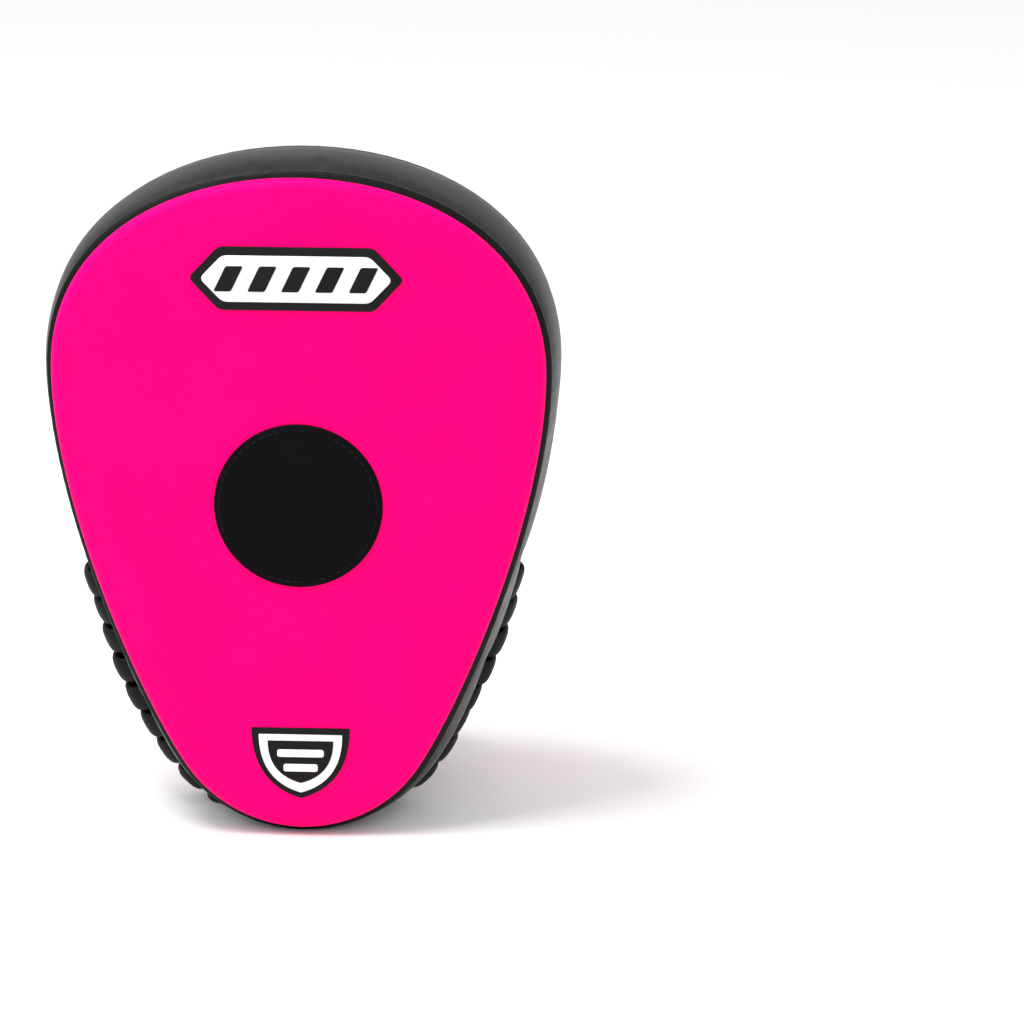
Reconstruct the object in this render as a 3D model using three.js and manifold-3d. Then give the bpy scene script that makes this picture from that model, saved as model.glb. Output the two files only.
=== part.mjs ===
// One boxing focus mitt: an egg-shaped striking pad with a laced edge, and on its back a hand
// hood with five finger stalls, a padded wrist cuff and a hook-and-loop wrist strap.
// Millimetres. X is across the pad, Z runs from the wrist end up to the finger end, and Y runs
// from the striking face (-Y) to the hand side. The hand side of the back panel is y = 0 until
// the finished group is centred over its base.
import * as THREE from "three";
import { mergeVertices } from "three/addons/utils/BufferGeometryUtils.js";
import Module from "manifold-3d";

const wasm = await Module();
wasm.setup();

// Driving dimensions of the pad
const padLength = 272;
const padHalfWidth = 99.4;
const widestHeight = 192.6;
const padThickness = 50;
const gap = 0.3;
const skin = 1.8;
const faceRim = 5.5;
const edgeRound = 3;
const wallBulge = 3.4;
const backFlare = 1.5;
const wristFlare = 5.5;
const wristFlareEnd = 135;
const soleDrop = 3;
const outlineSteps = 12;
const strikeFoamThickness = 12;
const backingFoamThickness = 9;

// Driving dimensions of the hood: its section at the cuff and at the finger hem
const cuffEnd = { z: 67, halfWidth: 52, height: 75, power: 3.0 };
const hemEnd = { z: 132, halfWidth: 80, height: 57, power: 3.4 };
const bandSkin = 2.6;
const stallSkin = 1.4;
const bandSeamAngle = 52;
const ventWidth = 3.4;
const ventLength = 17;

// Driving dimensions of the palm grip
const gripZ = 98;
const gripHalfWidth = 34;
const gripHalfLength = 22;
const gripHeight = 17;
const gripSkin = 1.6;

// Driving dimensions of the wrist cuff and its strap
const cuffRadius = 47;
const cuffCentre = 34;
const cuffThickness = 13;
const cuffBottom = 18;
const cuffTop = 61;
const wristSlant = 16;
const cuffSkin = 1.6;
const strapThickness = 2.4;
const patchThickness = 1.2;
const strapBottom = 21;
const strapTop = 57;
const strapSpread = 41;
const strapHinge = 33;

// Colours and finishes
const pink = { color: 0xff0082, roughness: 0.5, metalness: 0 };
const black = { color: 0x151518, roughness: 0.5, metalness: 0 };
const webbingBlack = { color: 0x1b1b1e, roughness: 0.85, metalness: 0 };
const white = { color: 0xf4f1f2, roughness: 0.55, metalness: 0 };
const foamGrey = { color: 0x8d8f94, roughness: 0.95, metalness: 0 };

const group = new THREE.Group();

function addPart(name, geometry, finish) {
  const mesh = new THREE.Mesh(geometry, new THREE.MeshStandardMaterial(finish));
  mesh.name = name;
  group.add(mesh);
}

// Closed-mesh helpers

function meshGeometry(points, triangles) {
  let volume = 0;
  for (let i = 0; i < triangles.length; i += 3) {
    const [a, b, c] = [points[triangles[i]], points[triangles[i + 1]], points[triangles[i + 2]]];
    volume += a.dot(b.clone().cross(c));
  }
  const outward = volume > 0 ? triangles : triangles.toReversed();
  const geometry = new THREE.BufferGeometry().setFromPoints(points);
  geometry.setIndex(outward);
  return geometry;
}

function toSolid(geometry) {
  const bare = geometry.clone();
  bare.deleteAttribute("normal");
  bare.deleteAttribute("uv");
  const merged = mergeVertices(bare, 1e-4);
  return new wasm.Manifold(
    new wasm.Mesh({
      numProp: 3,
      vertProperties: merged.attributes.position.array,
      triVerts: new Uint32Array(merged.index.array),
    }),
  );
}

function toGeometry(solid) {
  const mesh = solid.getMesh();
  const geometry = new THREE.BufferGeometry();
  geometry.setAttribute("position", new THREE.BufferAttribute(mesh.vertProperties, 3));
  geometry.setIndex(new THREE.BufferAttribute(mesh.triVerts, 1));
  return geometry;
}

function cut(geometry, ...cutters) {
  let solid = toSolid(geometry);
  for (const cutter of cutters) solid = solid.subtract(toSolid(cutter));
  return toGeometry(solid);
}

// Quads between two rings of equal length, ring a starting at index a and ring b at index b.
function bridge(triangles, a, b, count, closed) {
  const last = closed ? count : count - 1;
  for (let i = 0; i < last; i += 1) {
    const next = (i + 1) % count;
    triangles.push(a + i, b + i, b + next, a + i, b + next, a + next);
  }
}

// A sheet of the given thickness: surface(u, v) is its outer side for u and v from 0 to 1, and
// the inner side lies below it along the surface normal.
function thickSheet(surface, uSteps, vSteps, thickness) {
  const outer = [];
  const inner = [];
  const small = 1e-3;
  for (let j = 0; j <= vSteps; j += 1) {
    for (let i = 0; i <= uSteps; i += 1) {
      const [u, v] = [i / uSteps, j / vSteps];
      const point = surface(u, v);
      const alongU = surface(Math.min(u + small, 1), v).sub(surface(Math.max(u - small, 0), v));
      const alongV = surface(u, Math.min(v + small, 1)).sub(surface(u, Math.max(v - small, 0)));
      const normal = alongV.cross(alongU).normalize();
      outer.push(point);
      inner.push(point.clone().addScaledVector(normal, -thickness));
    }
  }
  const row = uSteps + 1;
  const size = outer.length;
  const triangles = [];
  for (let j = 0; j < vSteps; j += 1) {
    bridge(triangles, j * row, (j + 1) * row, row, false);
    bridge(triangles, size + (j + 1) * row, size + j * row, row, false);
  }
  const border = [];
  for (let i = 0; i < uSteps; i += 1) border.push(i);
  for (let j = 0; j < vSteps; j += 1) border.push(j * row + uSteps);
  for (let i = uSteps; i > 0; i -= 1) border.push(vSteps * row + i);
  for (let j = vSteps; j > 0; j -= 1) border.push(j * row);
  border.forEach((a, i) => {
    const b = border[(i + 1) % border.length];
    triangles.push(a, b, size + b, a, size + b, size + a);
  });
  return meshGeometry([...outer, ...inner], triangles);
}

// Pad: the outline is drawn once as Bezier curves for the right half and mirrored. Towards the
// back, its two sides spread by the given flare at the wrist end, easing out up to wristFlareEnd.

function padOutline(offset, flare = 0) {
  const right = new THREE.Path();
  right.moveTo(0, 0);
  right.bezierCurveTo(16, 0, 35, 7.5, 47, 25.5);
  right.bezierCurveTo(63, 49.5, padHalfWidth, 133, padHalfWidth, widestHeight);
  right.bezierCurveTo(padHalfWidth, 244.7, 52, padLength, 0, padLength);
  const half = right.getPoints(outlineSteps);
  const mirrored = half.slice(1, -1).map((p) => new THREE.Vector2(-p.x, p.y));
  const ring = [...half, ...mirrored.reverse()];
  return ring.map((p, i) => {
    const before = ring[(i + ring.length - 1) % ring.length];
    const after = ring[(i + 1) % ring.length];
    const tangent = after.clone().sub(before).normalize();
    const spread = 1 - THREE.MathUtils.smoothstep(p.y, 0, wristFlareEnd);
    const out = offset + flare * spread * Math.abs(tangent.y);
    return new THREE.Vector2(p.x + tangent.y * out, p.y - tangent.x * out);
  });
}

// A slab of the pad's outline: levels are [offset from the outline, y, flare], front to back.
function padSlab(levels) {
  const points = [];
  const triangles = [];
  const rings = levels.map(([offset, , flare]) => padOutline(offset, flare));
  rings.forEach((ring, k) => {
    ring.forEach((p) => points.push(new THREE.Vector3(p.x, levels[k][1], p.y)));
  });
  const count = rings[0].length;
  for (let k = 0; k < levels.length - 1; k += 1) {
    bridge(triangles, k * count, (k + 1) * count, count, true);
  }
  const lastRing = (levels.length - 1) * count;
  for (const [a, b, c] of THREE.ShapeUtils.triangulateShape(rings[0], [])) {
    triangles.push(a, b, c);
  }
  for (const [a, b, c] of THREE.ShapeUtils.triangulateShape(rings.at(-1), [])) {
    triangles.push(lastRing + c, lastRing + b, lastRing + a);
  }
  return meshGeometry(points, triangles);
}

// A closed band round the pad: profile is a closed list of [offset, y, flare]. Its sole, which the pad
// stands on, is flat and a little below the wrist end of the face.
function padBand(profile) {
  const points = [];
  const triangles = [];
  const rings = profile.map(([offset, , flare]) => padOutline(offset, flare));
  rings.forEach((ring, k) => {
    ring.forEach((p) => points.push(new THREE.Vector3(p.x, profile[k][1], Math.max(p.y, -soleDrop))));
  });
  const count = rings[0].length;
  profile.forEach((_, k) => {
    bridge(triangles, k * count, ((k + 1) % profile.length) * count, count, true);
  });
  return meshGeometry(points, triangles);
}

const faceFront = -padThickness;
const rimEnd = faceFront + faceRim;
const wallStart = rimEnd + gap;
const backSkinStart = -skin;
const wallEnd = backSkinStart - gap;
const wallMiddle = (wallStart + wallEnd) / 2;

// How far the side wall stands out of the outline at depth y: it widens towards the back, with a
// full bulge between its two seams.
function wallOffset(y) {
  const across = (y - wallMiddle) / (wallEnd - wallStart);
  const bulge = Math.sqrt(Math.max(0, Math.cos(Math.PI * across)));
  return backFlare * (across + 0.5) + wallBulge * bulge;
}

function buildPadCovers() {
  const rounded = [
    [-edgeRound, faceFront],
    [-edgeRound * 0.3, faceFront + edgeRound * 0.3],
    [0, faceFront + edgeRound],
    [0, rimEnd],
  ];
  const hollow = [
    [-edgeRound - skin, faceFront + skin],
    [-skin, faceFront + edgeRound + skin * 0.5],
    [-skin, rimEnd + gap],
  ];
  addPart("strike_face", cut(padSlab(rounded), padSlab(hollow)), pink);
  const wallSteps = 6;
  const outside = [];
  for (let k = 0; k <= wallSteps; k += 1) {
    const share = k / wallSteps;
    const y = wallStart + (wallEnd - wallStart) * share;
    outside.push([wallOffset(y), y, wristFlare * share]);
  }
  const inside = [[-skin, wallEnd, wristFlare], [-skin, wallStart, 0]];
  addPart("side_wall", padBand([...outside, ...inside]), black);
  const panel = [[backFlare, backSkinStart, wristFlare], [backFlare, 0, wristFlare]];
  addPart("back_panel", padSlab(panel), pink);
}

function buildPadFoams() {
  const inset = -(skin + gap);
  const strikeStart = faceFront + skin + gap;
  const strikeEnd = faceFront + skin + strikeFoamThickness;
  const backingStart = wallEnd - backingFoamThickness;
  const chamfered = [
    [inset - edgeRound, strikeStart],
    [inset, strikeStart + edgeRound],
    [inset, strikeEnd],
  ];
  addPart("strike_foam", padSlab(chamfered), foamGrey);
  addPart("core_foam", padSlab([[inset, strikeEnd + gap], [inset, backingStart - gap]]), foamGrey);
  addPart("backing_foam", padSlab([[inset, backingStart], [inset, wallEnd]]), foamGrey);
}

// A flat plate in front of the striking face, from its outline in X and Z.
function facePlate(shape, thickness, standOff, curveSteps) {
  const plate = new THREE.ExtrudeGeometry(shape, {
    depth: thickness,
    bevelEnabled: false,
    curveSegments: curveSteps,
  });
  return plate.rotateX(Math.PI / 2).translate(0, faceFront - standOff, 0);
}

function polygon(corners) {
  return new THREE.Shape(corners.map(([x, z]) => new THREE.Vector2(x, z)));
}

function lozenge(halfLength, halfHeight, point, centreZ) {
  return polygon([
    [-halfLength, centreZ],
    [-halfLength + point, centreZ - halfHeight],
    [halfLength - point, centreZ - halfHeight],
    [halfLength, centreZ],
    [halfLength - point, centreZ + halfHeight],
    [-halfLength + point, centreZ + halfHeight],
  ]);
}

function shield(halfWidth, halfHeight, centreZ) {
  const shape = new THREE.Shape();
  shape.moveTo(0, centreZ - halfHeight);
  shape.quadraticCurveTo(halfWidth, centreZ - halfHeight * 0.6, halfWidth, centreZ + halfHeight);
  shape.lineTo(-halfWidth, centreZ + halfHeight);
  shape.quadraticCurveTo(-halfWidth, centreZ - halfHeight * 0.6, 0, centreZ - halfHeight);
  return shape;
}

function buildFaceTrim() {
  const trimThickness = 1;
  const spotRadius = 34;
  const spotHeight = 138;
  const spot = new THREE.Shape().absarc(0, spotHeight, spotRadius, 0, 2 * Math.PI);
  addPart("target_spot", facePlate(spot, trimThickness, gap, 20), black);
  const upperHeight = 232;
  const lowerHeight = 29;
  const plate = lozenge(43, 13, 12, upperHeight);
  addPart("upper_badge", facePlate(plate, trimThickness, gap, 1), black);
  const mark = lozenge(37, 8, 8, upperHeight);
  mark.holes.push(new THREE.Path(lozenge(9, 5, 9, upperHeight).getPoints()));
  addPart("upper_badge_mark", facePlate(mark, 0.6, trimThickness + 2 * gap, 1), white);
  addPart("lower_badge", facePlate(shield(20, 15, lowerHeight), trimThickness, gap, 6), black);
  const ring = shield(16, 11, lowerHeight);
  ring.holes.push(new THREE.Path(shield(9, 6, lowerHeight + 1).getPoints(4)));
  addPart("lower_badge_mark", facePlate(ring, 0.6, trimThickness + 2 * gap, 4), white);
}

// The pad's back edge as a closed curve that starts at the wrist end and goes up the right side.
function edgeCurve() {
  const ring = padOutline(0, wristFlare).map((p) => new THREE.Vector3(p.x, 0, p.y));
  return new THREE.CatmullRomCurve3(ring, true);
}

// Whip lacing over the back corner of the pad: each turn starts on the side wall, goes over the
// corner and lands on the back panel.
function laceRoute(side) {
  const curve = edgeCurve();
  const length = curve.getLength();
  const firstTurn = 30;
  const pitch = 13;
  const turns = 9;
  const laceRadius = 1.7;
  const wallStitch = -11;
  const overCorner = backFlare + laceRadius + 1.8;
  const points = [];
  const stations = [
    [wallOffset(wallStitch) + laceRadius + gap, wallStitch, 0],
    [overCorner, 0.5, 0.3],
    [-4, laceRadius + gap, 0.5],
    [overCorner, 0.5, 0.8],
  ];
  for (let turn = 0; turn < turns; turn += 1) {
    for (const [out, y, step] of stations) {
      if (turn === turns - 1 && step > 0.5) break;
      const share = (firstTurn + pitch * (turn + step)) / length;
      const at = curve.getPointAt(share);
      const along = curve.getTangentAt(share);
      points.push(new THREE.Vector3(side * (at.x + along.z * out), y, at.z - along.x * out));
    }
  }
  return { route: new THREE.CatmullRomCurve3(points), laceRadius, steps: points.length * 2 };
}

function buildLacing() {
  const sides = 5;
  for (const [name, side] of [["left_lacing", -1], ["right_lacing", 1]]) {
    const { route, laceRadius, steps } = laceRoute(side);
    const corners = [];
    for (let k = 0; k < sides; k += 1) {
      const angle = (2 * Math.PI * k) / sides;
      corners.push([laceRadius * Math.cos(angle), laceRadius * Math.sin(angle)]);
    }
    const lace = new THREE.ExtrudeGeometry(polygon(corners), { steps, extrudePath: route });
    addPart(name, lace, black);
  }
}

// Hood: its section is a superellipse arch that changes from the cuff to the finger hem

function hoodPoint(z, angle, inset) {
  const share = (z - cuffEnd.z) / (hemEnd.z - cuffEnd.z);
  const mix = (a, b) => a + (b - a) * share;
  const power = 2 / mix(cuffEnd.power, hemEnd.power);
  const halfWidth = mix(cuffEnd.halfWidth, hemEnd.halfWidth) - inset;
  const height = mix(cuffEnd.height, hemEnd.height) - inset;
  const [c, s] = [Math.cos(angle), Math.sin(angle)];
  const across = Math.sign(c) * Math.abs(c) ** power;
  const up = Math.max(s, 0) ** power;
  return new THREE.Vector3(halfWidth * across, height * up, z);
}

const radians = THREE.MathUtils.degToRad;

function ventCutter(angleDegrees) {
  const half = ventLength / 2 - ventWidth / 2;
  const shape = new THREE.Shape();
  shape.absarc(0, half, ventWidth / 2, 0, Math.PI);
  shape.absarc(0, -half, ventWidth / 2, Math.PI, 2 * Math.PI);
  const depth = 14;
  const slot = new THREE.ExtrudeGeometry(shape, { depth, bevelEnabled: false, curveSegments: 4 });
  slot.translate(0, 0, -depth / 2);
  const ventZ = 99;
  const at = hoodPoint(ventZ, radians(angleDegrees), 0);
  const along = hoodPoint(ventZ + 1, radians(angleDegrees), 0).sub(at).normalize();
  const across = hoodPoint(ventZ, radians(angleDegrees - 1), 0).sub(at);
  const out = along.clone().cross(across).normalize();
  const sideways = along.clone().cross(out);
  slot.applyMatrix4(new THREE.Matrix4().makeBasis(sideways, along, out));
  return slot.translate(at.x, at.y, at.z);
}

function buildHood() {
  const seam = radians(bandSeamAngle);
  const bandSteps = 20;
  const band = thickSheet(
    (u, v) => {
      const z = cuffEnd.z + (hemEnd.z - cuffEnd.z) * v;
      return hoodPoint(z, Math.PI - seam - (Math.PI - 2 * seam) * u, 0);
    },
    bandSteps,
    4,
    bandSkin,
  );
  addPart("knuckle_band", cut(band, ventCutter(64), ventCutter(90), ventCutter(116)), pink);
  const seamClearance = 0.012;
  for (const [name, side] of [["left_side_panel", -1], ["right_side_panel", 1]]) {
    const lowest = radians(0.2);
    const panel = (u, v) => {
      const z = cuffEnd.z + (hemEnd.z - 4 - cuffEnd.z) * v;
      const p = hoodPoint(z, lowest + (seam - seamClearance - lowest) * u, 0);
      p.x *= side;
      return p;
    };
    const facing = side > 0 ? (u, v) => panel(1 - u, v) : panel;
    addPart(name, thickSheet(facing, 8, 4, bandSkin), pink);
  }
}

// Finger stalls: each is a sheet from the hem down to a fluted mouth standing on the back panel

const stalls = [
  {
    name: "left_outer_stall",
    top: [176, 130],
    mouthZ: [135, 138],
    mouth: [[-76, 3], [-76, 14], [-70, 17], [-64, 12], [-60, 3]],
  },
  {
    name: "left_finger_stall",
    top: [125, 99.5],
    mouthZ: [143, 154],
    mouth: [[-52, 3], [-54, 22], [-48, 30], [-41, 26], [-33, 12], [-22, 5]],
  },
  {
    name: "middle_finger_stall",
    top: [98.5, 81.5],
    mouthZ: [157, 157],
    mouth: [[-19, 3], [-10, 14], [-3, 27], [5, 30], [12, 23], [14, 3]],
  },
  {
    name: "right_finger_stall",
    top: [80.5, 54],
    mouthZ: [154, 147],
    mouth: [[17, 5], [32, 9], [44, 17], [52, 21], [58, 17], [56, 3]],
  },
  {
    name: "right_outer_stall",
    top: [50, 4],
    mouthZ: [138, 136],
    mouth: [[61, 3], [64, 13], [70, 15], [75, 13], [76, 3]],
  },
];

function stallSheet({ top, mouthZ, mouth }) {
  const line = new THREE.CatmullRomCurve3(
    mouth.map(([x, h], i) => {
      const z = THREE.MathUtils.lerp(mouthZ[0], mouthZ[1], i / (mouth.length - 1));
      return new THREE.Vector3(x, h, z);
    }),
  );
  const topZ = hemEnd.z - 6;
  const surface = (u, v) => {
    const start = hoodPoint(topZ, radians(top[0] + (top[1] - top[0]) * u), bandSkin + 2 * gap);
    const end = line.getPoint(u);
    const bulge = 3 * Math.sin(Math.PI * v);
    const point = start.lerp(end, v);
    point.y += bulge;
    return point;
  };
  return thickSheet(surface, 10, 4, stallSkin);
}

function buildStalls() {
  for (const stall of stalls) addPart(stall.name, stallSheet(stall), pink);
  const floorSkin = 1.2;
  const floorLength = 16;
  for (const stall of stalls) {
    const xs = stall.mouth.map(([x]) => x);
    const [low, high] = [Math.min(...xs) + 1, Math.max(...xs) - 1];
    const floor = new THREE.BoxGeometry(high - low, floorSkin, floorLength);
    const middleZ = (stall.mouthZ[0] + stall.mouthZ[1] + floorLength) / 2;
    floor.translate((low + high) / 2, gap + floorSkin / 2, middleZ);
    addPart(stall.name.replace("stall", "floor"), floor, pink);
  }
}

// Palm grip: a low dome under the palm, and its cover
function dome(radiusX, radiusZ, height, base) {
  const profile = [new THREE.Vector2(0, base), new THREE.Vector2(1, base)];
  const steps = 5;
  for (let k = 1; k <= steps; k += 1) {
    const angle = (Math.PI / 2) * (k / steps);
    profile.push(new THREE.Vector2(k === steps ? 0 : Math.cos(angle), base + height * Math.sin(angle)));
  }
  return new THREE.LatheGeometry(profile, 20).scale(radiusX, 1, radiusZ);
}

function buildPalmGrip() {
  const grown = (wide, high, base) => {
    return dome(gripHalfWidth + wide, gripHalfLength + wide, gripHeight + high, base);
  };
  const clear = 2 * gap;
  const foam = grown(0, 0, gap);
  const inside = grown(clear, 3 * gap, 0);
  const outside = grown(clear + gripSkin, clear + gripSkin, gap);
  addPart("palm_grip_foam", foam.translate(0, 0, gripZ), foamGrey);
  addPart("palm_grip_cover", cut(outside, inside).translate(0, 0, gripZ), black);
}

// Wrist cuff: concentric horseshoe layers, straight legs under a round arch

function horseshoe(radius, u, z) {
  const leg = cuffCentre - gap;
  const arc = Math.PI * radius;
  const along = u * (2 * leg + arc);
  if (along < leg) return new THREE.Vector3(-radius, gap + along, z);
  if (along > leg + arc) return new THREE.Vector3(radius, gap + 2 * leg + arc - along, z);
  const angle = Math.PI - (along - leg) / radius;
  return new THREE.Vector3(radius * Math.cos(angle), cuffCentre + radius * Math.sin(angle), z);
}

// The wrist rim of the cuff rises towards the back panel, clear of the pad's narrow end.
function wristRim(height) {
  return cuffBottom + wristSlant * Math.max(0, 1 - height / cuffCentre);
}

// One layer of the cuff: rims(height) gives its lower and upper edge.
function cuffLayer(radius, thickness, rims) {
  const surface = (u, v) => {
    const point = horseshoe(radius, u, 0);
    const [low, high] = rims(point.y);
    point.z = low + (high - low) * v;
    return point;
  };
  return thickSheet(surface, 24, 1, thickness);
}

// The same arch between two angles from the top, for the strap and its patches.
function archStrip(radius, thickness, fromDegrees, toDegrees, low, high) {
  const surface = (u, v) => {
    const angle = radians(90 - fromDegrees - (toDegrees - fromDegrees) * u);
    const z = low + (high - low) * v;
    return new THREE.Vector3(radius * Math.cos(angle), cuffCentre + radius * Math.sin(angle), z);
  };
  return thickSheet(surface, 10, 1, thickness);
}

function buildCuff() {
  const foamRadius = cuffRadius - cuffSkin - gap;
  const foamThickness = cuffThickness - 2 * (cuffSkin + gap);
  const liningRadius = foamRadius - foamThickness - gap;
  const roll = 3;
  const body = (height) => [wristRim(height), cuffTop];
  addPart("cuff_cover", cuffLayer(cuffRadius, cuffSkin, body), black);
  addPart("cuff_foam", cuffLayer(foamRadius, foamThickness, body), foamGrey);
  addPart("cuff_lining", cuffLayer(liningRadius, cuffSkin, body), webbingBlack);
  const wristRoll = (height) => [wristRim(height) - 2 * gap - roll, wristRim(height) - 2 * gap];
  const handRoll = () => [cuffTop + gap, cuffTop + gap + roll];
  addPart("cuff_wrist_roll", cuffLayer(cuffRadius, cuffThickness, wristRoll), black);
  addPart("cuff_hand_roll", cuffLayer(cuffRadius, cuffThickness, handRoll), black);
}

function buildStrap() {
  const loopRadius = cuffRadius + gap + patchThickness;
  const hookRadius = loopRadius + gap + patchThickness;
  const strapRadius = hookRadius + gap + strapThickness;
  const badgeRadius = strapRadius + gap + 1;
  const patchInset = 3;
  const low = strapBottom + patchInset;
  const high = strapTop - patchInset;
  addPart("loop_patch", archStrip(loopRadius, patchThickness, -40, 40, low, high), webbingBlack);
  addPart("hook_patch", archStrip(hookRadius, patchThickness, -38, 20, low, high), webbingBlack);
  const strapPiece = (from, to) =>
    archStrip(strapRadius, strapThickness, from, to, strapBottom, strapTop);
  addPart("wrist_strap", strapPiece(-strapSpread, strapHinge), webbingBlack);
  addPart("strap_anchor", strapPiece(strapHinge + 1, strapSpread + 6), webbingBlack);
  addPart("strap_badge", archStrip(badgeRadius, 1, -26, 26, low + 6, high - 6), white);
}

// Moves the finished group so that its box is centred over the origin and stands on z = 0.
function centreOverBase() {
  const box = new THREE.Box3().setFromObject(group);
  const centre = box.getCenter(new THREE.Vector3());
  group.position.set(-centre.x, -centre.y, -box.min.z);
}

buildPadCovers();
buildPadFoams();
buildFaceTrim();
buildLacing();
buildHood();
buildStalls();
buildPalmGrip();
buildCuff();
buildStrap();
centreOverBase();

export default group;
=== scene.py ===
import math
import bpy
import numpy as np
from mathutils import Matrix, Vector


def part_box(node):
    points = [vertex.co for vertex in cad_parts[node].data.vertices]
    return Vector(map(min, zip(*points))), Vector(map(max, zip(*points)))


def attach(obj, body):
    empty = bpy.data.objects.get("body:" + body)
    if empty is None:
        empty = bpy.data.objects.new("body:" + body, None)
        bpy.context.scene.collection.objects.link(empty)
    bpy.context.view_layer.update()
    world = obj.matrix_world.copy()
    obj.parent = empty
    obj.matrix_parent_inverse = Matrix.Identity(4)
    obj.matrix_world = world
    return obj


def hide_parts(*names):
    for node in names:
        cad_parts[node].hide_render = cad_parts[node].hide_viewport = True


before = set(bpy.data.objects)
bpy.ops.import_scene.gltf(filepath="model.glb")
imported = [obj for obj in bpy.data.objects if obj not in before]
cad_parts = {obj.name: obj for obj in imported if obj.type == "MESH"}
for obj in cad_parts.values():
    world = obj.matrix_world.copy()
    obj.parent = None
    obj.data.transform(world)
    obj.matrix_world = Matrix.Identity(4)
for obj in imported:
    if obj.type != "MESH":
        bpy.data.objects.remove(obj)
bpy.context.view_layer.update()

mm = 0.001
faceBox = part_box("strike_face")
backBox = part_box("back_panel")
backY = backBox[1][1]
faceY = faceBox[0][1]
sole = faceBox[0][2] / mm  # the side wall reaches this far below the face's wrist end
print("frame loaded, pad depth", round((backY - faceY) / mm, 1), "mm")

# the pad's outline in mm: right half as three Bezier stretches, wrist end to finger end
outlineCurves = [
    ((0, 0), (16, 0), (35, 7.5), (47, 25.5)),
    ((47, 25.5), (63, 49.5), (99.4, 133), (99.4, 192.6)),
    ((99.4, 192.6), (99.4, 244.7), (52, 272), (0, 272)),
]
pad = dict(
    seamY=5.5, edgeRound=4.2, crown=0.9, crownReach=14, wallBulge=3.6, backFlare=1.5, wristFlare=5.5,
    wristFlareEnd=135, lowBulge=1.2, lowReach=120, lip=0.9, samples=420,
)


def bezierPoints(corners, count):
    # cubic Bezier: weights are the Bernstein terms of t
    t = np.linspace(0, 1, count)[:, None]
    a, b, c, d = [np.array(p, float) for p in corners]
    return (1 - t) ** 3 * a + 3 * (1 - t) ** 2 * t * b + 3 * (1 - t) * t * t * c + t ** 3 * d


def unit(vectors):
    # each vector divided by its own length
    return vectors / np.linalg.norm(vectors, axis=-1)[..., None]


def smoothStep(t):
    # eases from 0 to 1 with level ends
    t = np.clip(t, 0, 1)
    return t * t * (3 - 2 * t)


def arcLength(path):
    # distance along a polyline at each of its points
    return np.concatenate([[0], np.cumsum(np.linalg.norm(np.diff(path, axis=0), axis=1))])


def sampleAt(reach, values, at):
    # each column of values, read off at the given arc lengths
    return np.stack([np.interp(at, reach, values[:, k]) for k in range(values.shape[1])], 1)


def resample(points, count, closed=False):
    # the same polyline with points at equal steps of arc length
    path = np.vstack([points, points[:1]]) if closed else np.asarray(points, float)
    reach = arcLength(path)
    at = np.linspace(0, reach[-1], count + 1)[:-1] if closed else np.linspace(0, reach[-1], count)
    return sampleAt(reach, path, at)


def smoothCurve(points, count):
    # Catmull-Rom through the points, then equal steps of arc length
    p = np.asarray(points, float)
    ends = np.vstack([2 * p[0] - p[1], p, 2 * p[-1] - p[-2]])
    t = np.linspace(0, len(p) - 1, len(p) * 12)
    i = np.minimum(t.astype(int), len(p) - 2)
    f = (t - i)[:, None]
    a, b, c, d = ends[i], ends[i + 1], ends[i + 2], ends[i + 3]
    square, cube = 2 * a - 5 * b + 4 * c - d, 3 * b - a - 3 * c + d
    return resample(0.5 * (2 * b + (c - a) * f + square * f ** 2 + cube * f ** 3), count)


def padOutline(count=None):
    # the closed outline anticlockwise from the wrist end, and its outward normals, in mm
    right = np.vstack([bezierPoints(c, 80)[:-1] for c in outlineCurves] + [[[0, 272]]])
    left = right[1:-1][::-1] * [-1, 1]
    ring = resample(np.vstack([right, left]), count or pad["samples"], closed=True)
    along = np.roll(ring, -1, 0) - np.roll(ring, 1, 0)
    along = unit(along)
    return ring, np.stack([along[:, 1], -along[:, 0]], 1)


def ripple(x, y, z, size, seed=0.0):
    # soft unevenness from -1 to 1: a sum of three crossed sines, size in mm
    a = np.sin(x / size * 2.1 + y / size * 1.3 + seed)
    b = np.sin(y / size * 1.7 - z / size * 2.3 + seed * 2.1)
    c = np.sin(z / size * 1.9 + x / size * 1.1 + seed * 0.7)
    return (a + b + c) / 3


# meshes from arrays

def linkObject(name, mesh):
    obj = bpy.data.objects.new(name, mesh)
    bpy.context.scene.collection.objects.link(obj)
    return obj


def buildMesh(name, vertices, faces, uvs=None):
    # vertices in mm, heights from the face's wrist end, faces as lists of corners
    mesh = bpy.data.meshes.new(name)
    placed = (np.asarray(vertices, float) + [0, 0, sole]) * mm
    mesh.from_pydata(placed.tolist(), [], faces)
    if uvs is not None:
        layer = mesh.uv_layers.new(name="UVMap")
        corners = np.empty(len(mesh.loops), int)
        mesh.loops.foreach_get("vertex_index", corners)
        layer.data.foreach_set("uv", (np.asarray(uvs) * mm)[corners].ravel())
    mesh.polygons.foreach_set("use_smooth", np.ones(len(mesh.polygons), bool))
    mesh.update()
    return mesh


def gridFaces(rows, cols, wrapRows=False, wrapCols=False, start=0):
    # quads between neighbouring rows and columns of a grid
    i, j = np.meshgrid(
        np.arange(rows if wrapRows else rows - 1),
        np.arange(cols if wrapCols else cols - 1),
        indexing="ij",
    )
    i2, j2 = (i + 1) % rows, (j + 1) % cols
    quads = np.stack([i * cols + j, i * cols + j2, i2 * cols + j2, i2 * cols + j], -1)
    return (quads.reshape(-1, 4) + start).tolist()


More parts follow.
